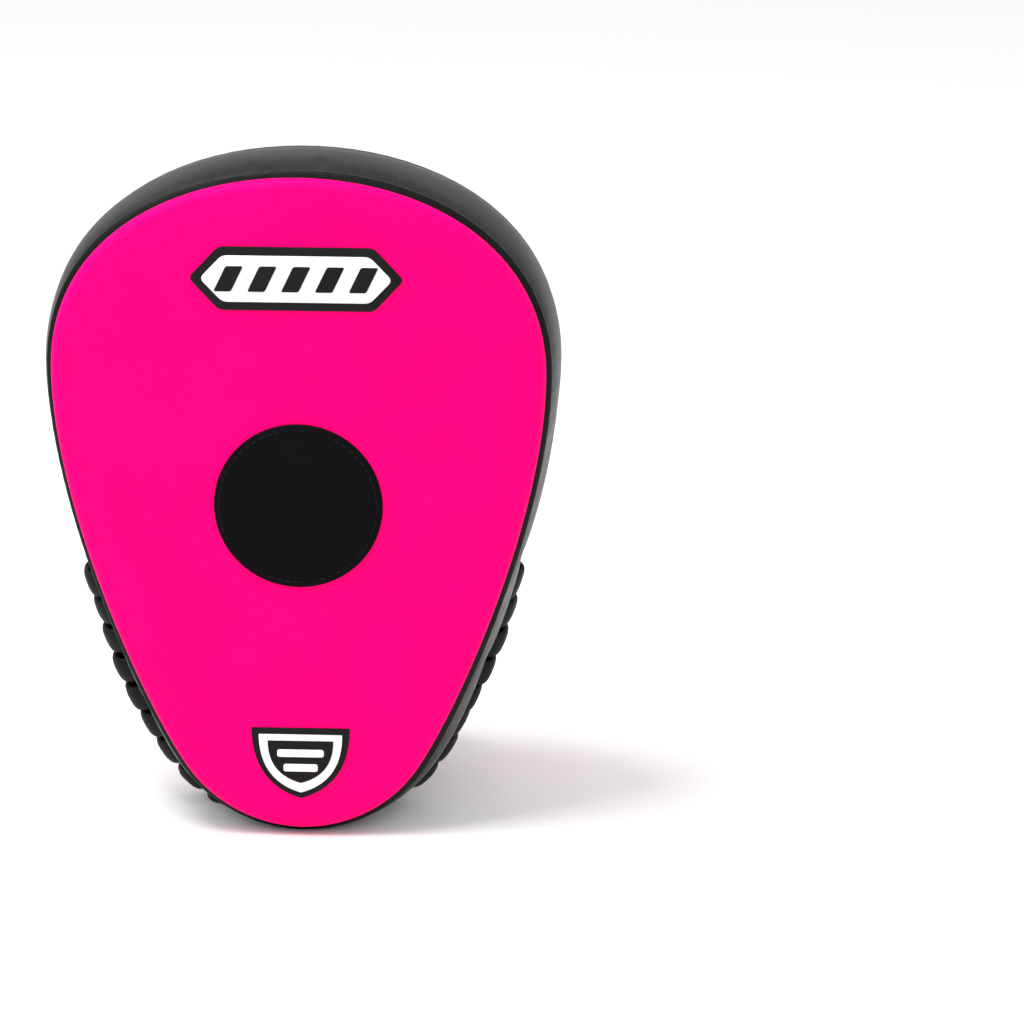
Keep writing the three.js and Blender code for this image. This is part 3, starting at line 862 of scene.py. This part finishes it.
lace = dict(
    first=29, pitch=12.6, turns=9, width=11.6, thickness=3.4, centreIn=3.0, centreDown=5.2, reachBack=7.6,
    reachOut=dict(left=14.4, right=9.4),
)


def squareTurn(phase):
    # cosine and sine pushed out towards a rounded square
    c, s = np.cos(phase), np.sin(phase)
    return np.sign(c) * np.abs(c) ** 0.75, np.sign(s) * np.abs(s) ** 0.75


def buildLacing():
    # a flat thong wound on a helix round the pad's back corner; the inner half of each turn is in the pad
    ring, normal = padOutline(1600)
    ring = ring + normal * flareOut(ring, normal)[:, None]
    reach = np.linspace(0, outlineLength, len(ring), endpoint=False)
    along = np.linspace(0, lace["turns"], lace["turns"] * 44)
    s = lace["first"] + along * lace["pitch"]
    phase = 2 * np.pi * along - 0.5 * np.pi
    c, d = squareTurn(phase)
    for name, sign in (("left", -1), ("right", 1)):
        x, z, nx, nz = [np.interp(s, reach, v) for v in (ring[:, 0], ring[:, 1], normal[:, 0], normal[:, 1])]
        uneven = 1 + 0.06 * np.sin(along * 5.1 + sign) + 0.04 * np.sin(along * 11.3)
        out = -lace["centreIn"] + lace["reachOut"][name] * c * uneven
        deep = lace["reachBack"] * d
        path = np.stack([sign * (x + nx * out), backY / mm - lace["centreDown"] + deep, z + nz * out], 1)
        hint = np.stack([sign * nx * np.cos(phase), np.sin(phase), nz * np.cos(phase)], 1)
        section = roundSection(lace["width"], lace["thickness"], power=2.3, count=18)
        swell = 0.86 + 0.14 * np.cos(phase)
        obj = sweptPiece(name + "Lacing", path, hint, section, laceLeather, scale=swell)
        floorClamp(obj, 0.2)
        finishPiece(obj, "mitt", [name + "_lacing"])


def floorClamp(obj, lowest):
    # nothing reaches under the floor that the mitt stands on
    mesh = obj.data
    flat = np.empty(len(mesh.vertices) * 3)
    mesh.vertices.foreach_get("co", flat)
    flat[2::3] = np.maximum(flat[2::3], lowest * mm)
    mesh.vertices.foreach_set("co", flat)
    mesh.update()


buildStrikeFace()
buildSideWall()
buildBackPanel()
buildPadSeams()
buildSpot()
buildUpperBadge()
buildLowerBadge()
buildLacing()
print("pad made")


# hood

hood = dict(
    cuffZ=67, hemZ=132, cuffWidth=52, hemWidth=80, cuffHeight=75, hemHeight=57,
    cuffPower=3.0, hemPower=3.4, seamAngle=52, flare=1.35,
)
gloveCentre = (0, backY / mm + 24, 100)


def hoodPoint(z, angle, inset=0.0):
    # superellipse arch, in mm: half width and height change from the cuff to the hem
    z, angle = np.broadcast_arrays(np.asarray(z, float), np.asarray(angle, float))
    share = (z - hood["cuffZ"]) / (hood["hemZ"] - hood["cuffZ"])
    wide = np.sign(share) * np.abs(share) ** hood["flare"]
    halfWidth = hood["cuffWidth"] + (hood["hemWidth"] - hood["cuffWidth"]) * wide - inset
    height = hood["cuffHeight"] + (hood["hemHeight"] - hood["cuffHeight"]) * share - inset
    power = 2 / (hood["cuffPower"] + (hood["hemPower"] - hood["cuffPower"]) * share)
    c, s = np.cos(angle), np.maximum(np.sin(angle), 0)
    x = np.sign(c) * np.abs(c) ** power * halfWidth
    y = backY / mm + s ** power * height
    return np.stack([x, y, z], -1)


def hoodNormal(z, angle):
    # cross product of the two directions on the arch, pointing out of it
    d = 0.02
    across = hoodPoint(z, angle + d) - hoodPoint(z, angle - d)
    along = hoodPoint(z + 0.5, angle) - hoodPoint(z - 0.5, angle)
    normal = np.cross(along, across)
    normal = unit(normal)
    away = hoodPoint(z, angle) - np.array([0, backY / mm + 20, 0]) * [1, 1, 0]
    flip = np.where((normal * (away * [1, 1, 0])).sum(-1) < 0, -1.0, 1.0)
    return normal * flip[..., None]


def evenAngles(z, start, end, count):
    # angles that give points at equal steps round the arch at height z
    dense = np.linspace(start, end, 400)
    curve = hoodPoint(np.full(400, z), dense)
    reach = arcLength(curve)
    return np.interp(np.linspace(0, reach[-1], count), reach, dense)


def bandDip(z, angle):
    # how far the soft band sinks between its ends, and how its hem waves
    share = np.clip((z - hood["cuffZ"]) / (hood["hemZ"] - hood["cuffZ"]), 0, 1)
    return 0.8 * np.sin(np.pi * share) + 0.7 * share ** 3 * np.sin(7 * angle + 0.6)


def buildBand():
    seam = math.radians(hood["seamAngle"])
    rows = []
    for z in np.linspace(hood["cuffZ"] - 1.5, hood["hemZ"], 44):
        angle = evenAngles(z, math.pi - seam, seam, 110)
        rows.append(hoodPoint(z, angle, bandDip(z, angle)))
    band = addSheet("knuckleBand", np.array(rows), [pinkGloss, suede, cutEdge], gloveCentre, 2.4)
    cutVents(band)
    finishPiece(band, "mitt", ["knuckle_band"])


vent = dict(angles=(64, 90, 116), z=99, width=3.4, length=17)


def ventFrame(degrees):
    # the vent's centre on the band, with directions along, across and out of it
    a = math.radians(degrees)
    at = hoodPoint(vent["z"], a)
    along = hoodPoint(vent["z"] + 1, a) - hoodPoint(vent["z"] - 1, a)
    along /= np.linalg.norm(along)
    out = hoodNormal(np.array(float(vent["z"])), np.array(a))
    out -= along * np.dot(out, along)
    out /= np.linalg.norm(out)
    return at, along, np.cross(along, out), out


def stadium(width, length, count=24):
    # two half circles joined by straight sides, anticlockwise
    r = width / 2
    half = length / 2 - r
    t = np.linspace(0, np.pi, count // 2)
    top = np.stack([r * np.cos(t), half + r * np.sin(t)], 1)
    return np.vstack([top, -top])


def onBand(points, degrees, lift=0.0):
    # lays a small flat outline (across, along) on the band round a vent's centre
    at, along, across, out = ventFrame(degrees)
    a = math.radians(degrees)
    flat = at + points[:, :1] * across + points[:, 1:] * along
    guess = np.full(len(flat), a)
    for _ in range(4):
        here = hoodPoint(flat[:, 2], guess)
        slope = hoodPoint(flat[:, 2], guess + 0.01) - here
        guess += 0.01 * ((flat - here) * slope).sum(1) / (slope ** 2).sum(1)
    normal = hoodNormal(flat[:, 2], guess)
    return hoodPoint(flat[:, 2], guess, bandDip(flat[:, 2], guess)) + normal * lift, normal


def cutVents(band):
    cutters = []
    for degrees in vent["angles"]:
        at, along, across, out = ventFrame(degrees)
        ring = stadium(vent["width"], vent["length"])
        low = at + ring[:, :1] * across + ring[:, 1:] * along - out * 9
        high = low + out * 16
        count = len(ring)
        faces = gridFaces(2, count, wrapCols=True)
        faces += [list(range(count))[::-1], list(range(count, 2 * count))]
        mesh = buildMesh("ventCutter", np.vstack([low, high]), faces)
        faceOutwards(mesh, at)
        cutters.append(linkObject("ventCutter", mesh))
    for cutter in cutters:
        hole = band.modifiers.new("vent", "BOOLEAN")
        hole.operation = "DIFFERENCE"
        hole.solver = "EXACT"
        hole.object = cutter
    applyModifiers(band)
    for cutter in cutters:
        bpy.data.objects.remove(cutter)


def applyModifiers(obj):
    graph = bpy.context.evaluated_depsgraph_get()
    made = bpy.data.meshes.new_from_object(obj.evaluated_get(graph))
    obj.modifiers.clear()
    old = obj.data
    obj.data = made
    bpy.data.meshes.remove(old)


def buildVentTrim():
    runs = []
    for k, degrees in enumerate(vent["angles"]):
        # a pale cut-edge bead round each vent: partly the leather's real cut edge, partly a painted highlight
        # standing for the bright inside of the slot
        ring = stadium(vent["width"] + 0.5, vent["length"] + 0.5, 28)
        path, normal = onBand(ring, degrees, 0.05)
        section = roundSection(0.9, 0.7, count=8)
        rim = sweptPiece("ventEdgeAndHighlight" + str(k + 1), path, normal, section, cutEdge, closed=True)
        finishPiece(rim, "mitt")
        oval = stadium(11.4, 27, 40)
        path, normal = onBand(np.vstack([oval, oval[:1]]), degrees, 0.12)
        runs.append((path, normal))
    stitches("ventStitches", runs, threadPale, "mitt", length=1.7, pitch=2.8, width=0.5)


def bandLine(angles, heights, lift=0.12):
    # a path on the band through pairs of angle and height, with its normals
    z = np.asarray(heights, float)
    a = np.radians(np.asarray(angles, float))
    normal = hoodNormal(z, a)
    return hoodPoint(z, a, bandDip(z, a)) + normal * lift, normal


def buildBandStitches():
    seam = hood["seamAngle"]
    z = np.linspace(hood["cuffZ"] + 1, hood["hemZ"] - 2, 60)
    runs = []
    for near in (1.6, 4.2):
        for sign in (-1, 1):
            runs.append(bandLine(np.full(60, 90 + sign * (90 - seam - near)), z))
    hemAngles = np.degrees(evenAngles(hood["hemZ"], math.radians(180 - seam), math.radians(seam), 160))
    runs.append(bandLine(hemAngles, np.full(160, hood["hemZ"] - 2.4)))
    runs.append(bandLine(hemAngles, np.full(160, hood["cuffZ"] + 2.2)))
    stitches("bandStitches", runs, threadPale, "mitt", length=1.8, pitch=2.9, width=0.5)


side = dict(hemBack=3.5, cutAway=17, cutBelow=37, ear=6.0, earAt=0.55, thickness=1.6)


def panelHem(height):
    # z of the side panel's hem: level with the ear, cut back towards the wrist below it
    return hood["hemZ"] - side["hemBack"] - side["cutAway"] * smoothStep(1 - height / side["cutBelow"])


def buildSidePanels():
    # from the band's seam down the arch, then turned outwards and sewn flat to the back panel
    seam = math.radians(hood["seamAngle"])
    start = hood["cuffZ"] - 1
    flangeRuns, edgeRuns = [], []
    for name, sign in (("left", -1), ("right", 1)):
        rows = []
        full = hood["hemZ"] - side["hemBack"]
        for v in np.linspace(0, 1, 34):
            angle = evenAngles(start + (full - start) * v, seam + 0.03, 0.006, 40)
            height = hoodPoint(np.full(40, full), angle)[:, 1] - backY / mm
            level = start + (panelHem(height) - start) * v
            arch = hoodPoint(level, angle, 0.4)
            lift = height / hood["hemHeight"]
            arch[:, 0] += side["ear"] * v ** 4 * np.exp(-((lift - side["earAt"]) / 0.17) ** 2)
            arch[:, 1] = np.maximum(arch[:, 1], backY / mm + 2.8)
            t = np.linspace(0.2, 1, 6)[:, None]
            flange = arch[-1] + t * [6.0, 0, 0] - np.sin(t * np.pi / 2) * [0, 0.4, 0]
            row = np.vstack([arch, flange])
            row[:, 0] *= sign
            rows.append(row)
        points = np.array(rows)
        leathers = [pinkLeather, suede, cutEdge]
        panel = addSheet(name + "SidePanel", points, leathers, gloveCentre, side["thickness"])
        finishPiece(panel, "mitt", [name + "_side_panel"])
        line = points[:, -3]
        flangeRuns.append((line + [0, 0.15, 0], np.broadcast_to([0.0, 1.0, 0.0], line.shape)))
        hem = points[-3, 2:-8]
        out = hem - np.array([0, backY / mm + 20, 0])
        out[:, 2] = 0
        out = unit(out)
        edgeRuns.append((hem + out * 0.12, out))
    runs = flangeRuns + edgeRuns
    stitches("sidePanelStitches", runs, threadPale, "mitt", length=1.8, pitch=2.9, width=0.5)


# finger stalls: x, height over the back panel and z of each seam below the hem, and of each mouth from
# its left foot to its right foot
stallSeams = {
    "farLeft": dict(angle=176, line=[(-82, 10, 127), (-84, 2.4, 127)]),
    "left": dict(angle=127, line=[(-59, 38, 131), (-57.5, 20, 137), (-55.5, 2.6, 142)]),
    "middleLeft": dict(
        angle=100, line=[(-26, 45, 135), (-21, 35, 139), (-18.4, 25, 144), (-20.5, 2.6, 155.5)],
    ),
    "middleRight": dict(
        angle=79.5, line=[(26.5, 44, 135), (22, 35, 139), (18, 25, 144), (17.8, 2.6, 155.5)],
    ),
    "right": dict(angle=53, line=[(59, 38, 132), (57.5, 24, 138), (52, 2.6, 145.5)]),
    "farRight": dict(angle=5, line=[(81, 10, 134), (82.5, 2.4, 137)]),
}
stalls = {
    "leftOuter": dict(
        node="left_outer", seams=("farLeft", "left"), floor=((-80, -62), (136, 147)),
        mouth=[(-77, 2.4, 131), (-69, 3.2, 136), (-63.5, 6.5, 138), (-66, 10.5, 138), (-72, 12, 137),
               (-76, 15.5, 136), (-73, 20, 136), (-67, 18.5, 138), (-61, 10, 140)],
    ),
    "leftFinger": dict(
        node="left_finger", seams=("left", "middleLeft"), floor=((-52, -23), (145, 159)),
        mouth=[(-50.5, 2.6, 143), (-46, 7, 144), (-46.3, 14, 145), (-50.8, 20.5, 145), (-53.6, 26, 145),
               (-50, 30.8, 146), (-44, 29.8, 147), (-38.5, 22.5, 149), (-33, 13.5, 151), (-26.5, 6.8, 153)],
    ),
    "middleFinger": dict(
        node="middle_finger", seams=("middleLeft", "middleRight"), floor=((-17.5, 14), (156, 173)),
        mouth=[(-17, 2.8, 156.5), (-12, 6.5, 157), (-8, 14, 157), (-4.7, 22.5, 157), (0, 28.8, 157),
               (5.5, 30.6, 157), (10, 28, 157), (12.4, 21.5, 157), (11.2, 14.5, 157), (10.2, 8, 157),
               (12.4, 3, 157)],
    ),
    "rightFinger": dict(
        node="right_finger", seams=("middleRight", "right"), floor=((19, 45), (149, 159.5)),
        mouth=[(26, 6.2, 153), (34.5, 10.5, 151), (43.5, 17, 149), (51, 21.3, 148), (57, 21.3, 147),
               (60, 17.2, 146), (57, 13.2, 146), (50.5, 11, 147), (44, 9.5, 148), (41.5, 5.5, 148),
               (45, 2.6, 148)],
    ),
    "rightOuter": dict(
        node="right_outer", seams=("right", "farRight"), floor=((56, 77), (139, 147)),
        mouth=[(57, 9, 144), (62, 14.5, 142), (69, 17, 140), (75, 14.5, 139), (74.5, 10.5, 139),
               (68.5, 9, 139), (66, 5.5, 139), (70, 3.2, 139), (76, 2.4, 138)],
    ),
}
stallSheet = dict(
    cols=84, rows=34, topZ=127, underHem=3.4, foldPower=1.7, bulge=5.0, thickness=1.9, thinner=1.2,
)


def stallTop(angles):
    # the stalls' top edge on the arch, under the hem and behind the side panels' cut-away edge
    level = np.full(np.shape(angles), float(stallSheet["topZ"]))
    height = hoodPoint(level, angles, stallSheet["underHem"])[..., 1] - backY / mm
    level = np.minimum(level, panelHem(height) - 3.5)
    return hoodPoint(level, angles, stallSheet["underHem"])


def seamLine(name, count):
    # a seam from under the hem down to its foot, in the frame's depths
    seam = stallSeams[name]
    top = stallTop(np.array(math.radians(seam["angle"])))
    below = np.array(seam["line"], float) + [0, backY / mm, 0]
    return smoothCurve(np.vstack([top, below]), count)


def buildStall(name, stall):
    # Coons sheet between the arch, two seams and the mouth: the mouth's fold grows with the power 1.7
    # of the way down, and the tube bulges between its seams as a product of sines
    cols, rows = stallSheet["cols"], stallSheet["rows"]
    left, right = [seamLine(seam, rows)[:, None] for seam in stall["seams"]]
    low, high = [math.radians(stallSeams[seam]["angle"]) for seam in stall["seams"]]
    angle = evenAngles(stallSheet["topZ"], low, high, cols)
    top = stallTop(angle)[None]
    mouth = np.array(stall["mouth"], float) + [0, backY / mm, 0]
    mouth = smoothCurve(np.vstack([left[-1], mouth, right[-1]]), cols)[None]
    u = np.linspace(0, 1, cols)[None, :, None]
    v = np.linspace(0, 1, rows)[:, None, None]
    chord = (1 - u) * left[-1] + u * right[-1]
    corners = (1 - v) * ((1 - u) * left[0] + u * right[0]) + v * chord
    points = (1 - v) * top + v * chord + (mouth - chord) * v ** stallSheet["foldPower"]
    points = points + (1 - u) * left + u * right - corners
    bulge = stallSheet["bulge"] * np.sin(np.pi * v) * np.sin(np.pi * u) ** 0.8
    points = points + bulge * [0, 1, 0.45]
    leathers = [pinkLeather, suede, cutEdge]
    thickness = stallSheet["thinner" if name.endswith("Outer") else "thickness"]
    obj = addSheet(name + "Stall", points, leathers, (0, backY / mm + 4, 112), thickness)
    finishPiece(obj, "mitt", [stall["node"] + "_stall"])


def buildStallFloors():
    back = backY / mm + 0.9
    runs = []
    for name, stall in stalls.items():
        (low, high), (near, far) = stall["floor"]
        under, beyond = near - 8, far + 1.6
        corners = roundedPolygon([(low, under), (high, under), (high, beyond), (low, beyond)], 1.2)
        levels = [(0.0, -0.6), (0.0, 0.55), (0.25, 0.75)]
        middle = corners.mean(0)
        rings = []
        for inset, up in levels:
            p = corners + (middle - corners) / np.linalg.norm(middle - corners, axis=1)[:, None] * inset
            rings.append(np.stack([p[:, 0], np.full(len(p), back + up), p[:, 1]], 1))
        centre = np.array([middle[0], back + 0.75, middle[1]])
        rings += innerRings(rings[-1], centre, 3)
        obj = addPanel(name + "Floor", rings, centre, pinkLeather, (middle[0], back - 20, middle[1]))
        finishPiece(obj, "mitt", [stall["node"] + "_floor"])
        path = np.array([(low + 0.8, near - 2), (low + 0.8, far), (high - 0.8, far), (high - 0.8, near - 2)])
        dense = resample(path, 80)
        line = np.stack([dense[:, 0], np.full(80, back + 0.85), dense[:, 1]], 1)
        runs.append((line, np.broadcast_to([0.0, 1.0, 0.0], line.shape)))
    stitches("stallFloorStitches", runs, threadPale, "mitt", length=2.2, pitch=3.2, width=0.5)


def buildStallSeams():
    # the sewn lip that stands out of each valley between two stalls, with a bar tack half way down
    for name in ("middleLeft", "middleRight"):
        path = seamLine(name, 60)
        away = path - np.array([0, backY / mm + 5, 112])
        away[:, 0] *= 0.2
        away = unit(away)
        share = np.linspace(0, 1, 60)
        tall = 0.45 + 0.75 * np.clip(1 - (share / 0.62) ** 3, 0, 1)
        section = roundSection(2.6, 3.8, 3.2)
        lip = sweptPiece(name + "SeamLip", path + away * 0.9, away, section, cutEdge, scale=tall)
        finishPiece(lip, "mitt")
        middle = int(0.6 * 60)
        spread = np.linspace(-1.9, 1.9, 7)[:, None] * [1.0, 0, 0]
        knotAt = path[middle] + away[middle] * 1.7
        outward = np.broadcast_to(away[middle], spread.shape)
        knot = [(knotAt + spread, outward)]
        stitches(name + "BarTack", knot, threadPale, "mitt", 2.6, 0.8, 0.8, 0.8)


buildBand()
buildVentTrim()
buildBandStitches()
buildSidePanels()
for name, stall in stalls.items():
    buildStall(name, stall)
buildStallFloors()
buildStallSeams()
print("hood made")


# palm grip

def buildPalmGrip():
    # a low oval dome: radius shrinks as a cosine while the height follows a sine
    rings = []
    base = backY / mm + 0.9
    t = np.linspace(0, 2 * np.pi, 72, endpoint=False)
    for angle in np.linspace(0, 88, 16):
        a = math.radians(angle)
        grow = math.cos(a) ** 0.85
        x, z = 35.6 * grow * np.cos(t), 98 + 23.6 * grow * np.sin(t)
        rings.append(np.stack([x, np.full(72, base + 18.4 * math.sin(a)), z], 1))
    centre = np.array([0, base + 18.5, 98])
    obj = addPanel("palmGripCover", rings, centre, blackLeather, (0, base - 10, 98))
    finishPiece(obj, "mitt", ["palm_grip_cover"])


# wrist cuff

cuff = dict(radius=47, centre=34, thickness=13, low=18, high=61, slant=16, puff=1.8, roll=3.2)


def horseshoe(radius, count):
    # straight leg, half circle, straight leg: x, height and outward direction, left foot first
    radius = float(radius)
    leg, arc = cuff["centre"] - 0.4, math.pi * radius
    s = np.linspace(0, 2 * leg + arc, count)
    angle = np.clip(math.pi - (s - leg) / radius, 0, math.pi)
    x = radius * np.cos(angle)
    curved = np.where(s > leg + arc, 0.4 + 2 * leg + arc - s, cuff["centre"] + radius * np.sin(angle))
    height = np.where(s < leg, 0.4 + s, curved)
    return x, height, np.cos(angle), np.sin(angle)


def wristRim(height):
    # the wrist edge rises towards the back panel, clear of the pad's narrow end
    return cuff["low"] + cuff["slant"] * np.clip(1 - height / cuff["centre"], 0, 1)


def cuffRows(radius, stations, count=150, base=0.0):
    # stations are (stand-off from the radius, share from the wrist edge to the hand edge, z shift)
    x, height, nx, ny = horseshoe(radius, count)
    low = wristRim(height)
    rows = []
    for off, share, shift in stations:
        z = low + (cuff["high"] - low) * share + shift
        wave = 0.35 * ripple(x, height, z, 9, 2.2) * (1 if abs(off) > 0.01 else 0)
        up = backY / mm + height + ny * (off + wave)
        rows.append(np.stack([x + nx * (off + wave), up, z], 1))
    return np.array(rows)


def buildCuff():
    shares = np.linspace(0.02, 0.98, 24)
    puffed = [(cuff["puff"] * math.sin(math.pi * s) ** 0.6 + 0.02, s, 0) for s in shares]
    outer = cuffRows(cuff["radius"] - 0.6, puffed)
    cover = addSheet("cuffCover", outer, [blackLeather, liningCloth], gloveCentre, 1.6)
    finishPiece(cover, "mitt", ["cuff_cover"])
    inner = cuff["radius"] - cuff["thickness"] + 1.6
    lined = [(-1.2 * math.sin(math.pi * s) ** 0.6 - 0.02, s, 0) for s in np.linspace(0, 1, 16)]
    lining = addSheet("cuffLining", cuffRows(inner, lined), [liningCloth], (0, 500, 40), 1.2)
    finishPiece(lining, "mitt", ["cuff_lining"])
    rolls = (("cuffHandRoll", "cuff_hand_roll", 1, 0.4), ("cuffWristRoll", "cuff_wrist_roll", 0, -0.4))
    for name, node, share, shift in rolls:
        stations = []
        half = cuff["thickness"] / 2
        for a in np.linspace(0, 2 * np.pi, 20, endpoint=False):
            swell = cuff["roll"] * 1.5 * math.cos(a)
            z = shift + (swell if (swell > 0) == (shift > 0) else swell * 0.35)
            stations.append((half * math.sin(a) * 0.98 + 0.05, share, z))
        roll = ringPiece(name, cuffRows(cuff["radius"] - half, stations), blackLeather)
        finishPiece(roll, "mitt", [node])


def ringPiece(name, points, material):
    # a closed section carried along an open path: capped at both ends
    sections = points.transpose(1, 0, 2)
    rows, cols = sections.shape[:2]
    faces = gridFaces(rows, cols, wrapCols=True)
    faces.append(list(range(cols)))
    faces.append(list(range((rows - 1) * cols, rows * cols))[::-1])
    mesh = buildMesh(name, sections.reshape(-1, 3), faces, gridUv(sections))
    mesh.materials.append(material)
    faceOutwards(mesh)
    return linkObject(name, mesh)


def buildCuffTrim():
    # cord piping under the hand roll and two rows of stitches on the cover
    x, height, nx, ny = horseshoe(cuff["radius"], 150)
    path = np.stack([x * 1.004, backY / mm + height, np.full(150, cuff["high"] + 0.3)], 1)
    normal = np.stack([nx, ny, np.zeros(150)], 1)
    piping = sweptPiece("cuffPiping", path, normal, roundSection(1.9, 1.9, count=10), blackLeather)
    finishPiece(piping, "mitt")
    low = wristRim(height)
    runs = []
    for z in (cuff["high"] - 3.0, low + 3.2):
        off = 1.05
        line = np.stack([x + nx * off, backY / mm + height + ny * off, np.broadcast_to(z, x.shape)], 1)
        runs.append((line, normal))
    stitches("cuffStitches", runs, threadBlack, "mitt", length=2.3, pitch=3.4)


# wrist strap

strap = dict(spread=41, hinge=33, low=21, high=57, thickness=2.4, patch=1.2, gap=0.3)


def stripRows(radius, start, end, low, high, rows=14, cols=72, corner=0.0):
    # a strip of the arch between two angles from its top, its free corners cut back
    share = np.linspace(0, 1, cols)
    angle = np.radians(start + (end - start) * share)
    centreY = backY / mm + cuff["centre"]
    cutBack = corner * np.clip(1 - share * (end - start) / 8.0, 0, 1) ** 2
    layers = []
    for v in np.linspace(0, 1, rows):
        z = low + cutBack + (high - low - 2 * cutBack) * v
        layers.append(np.stack([radius * np.sin(angle), centreY + radius * np.cos(angle), z], 1))
    return np.array(layers)


def stripPiece(name, rows, thickness, materials, body, node):
    obj = addSheet(name, rows, materials, (0, backY / mm + cuff["centre"], 39), thickness)
    finishPiece(obj, body, [node])


def stripStitches(name, rows, material, body, inset=2.0, ends=(0.02, 0.98)):
    # a rectangle of stitches just inside the strip's edge
    count = rows.shape[1]
    first, last = int(ends[0] * (count - 1)), int(ends[1] * (count - 1))
    low = rows[0, first:last + 1] + [0, 0, inset]
    high = rows[-1, first:last + 1] - [0, 0, inset]
    loop = np.vstack([low, high[::-1], low[:1]])
    centre = np.array([0, backY / mm + cuff["centre"], 0])
    normal = (loop - centre) * [1, 1, 0]
    normal = unit(normal)
    runs = [(loop + normal * 0.06, normal)]
    stitches(name, runs, material, body, length=2.2, pitch=3.2, width=0.5, height=0.3)


def buildStrap():
    loopRadius = cuff["radius"] + strap["gap"] + strap["patch"]
    hookRadius = loopRadius + strap["gap"] + strap["patch"]
    outer = hookRadius + strap["gap"] + strap["thickness"]
    low, high = strap["low"], strap["high"]
    loops = stripRows(loopRadius + 0.8, -40, 40, low + 3, high - 3)
    stripPiece("loopPatch", loops, 1.8, [hookPile], "mitt", "loop_patch")
    hooks = stripRows(hookRadius, -38, 20, low + 3, high - 3)
    stripPiece("hookPatch", hooks, strap["patch"], [hookPile], "strap_flap", "hook_patch")
    flap = stripRows(outer, -strap["spread"], strap["hinge"], low, high, corner=5.0)
    stripPiece("wristStrap", flap, strap["thickness"], [strapWebbing], "strap_flap", "wrist_strap")
    stripStitches("strapStitches", flap, threadBlack, "strap_flap")
    anchor = stripRows(outer, strap["hinge"] + 1, strap["spread"] + 6, low, high, cols=24)
    stripPiece("strapAnchor", anchor, strap["thickness"], [strapWebbing], "mitt", "strap_anchor")
    stripStitches("anchorStitches", anchor, threadBlack, "mitt", ends=(0.1, 0.9))
    label = stripRows(outer + strap["gap"] + 1, -26, 26, low + 9, high - 9)
    stripPiece("strapLabel", label, 1.2, [labelWhite], "strap_flap", "strap_badge")
    stripStitches("labelStitches", label, threadBlack, "strap_flap", inset=1.6)


buildPalmGrip()
buildCuff()
buildCuffTrim()
buildStrap()
print("cuff and strap made")

# the foams stay as the frame has them, inside the covers
for node in ("strike_foam", "core_foam", "backing_foam", "palm_grip_foam", "cuff_foam"):
    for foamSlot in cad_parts[node].material_slots:
        foamSlot.material = foamRubber
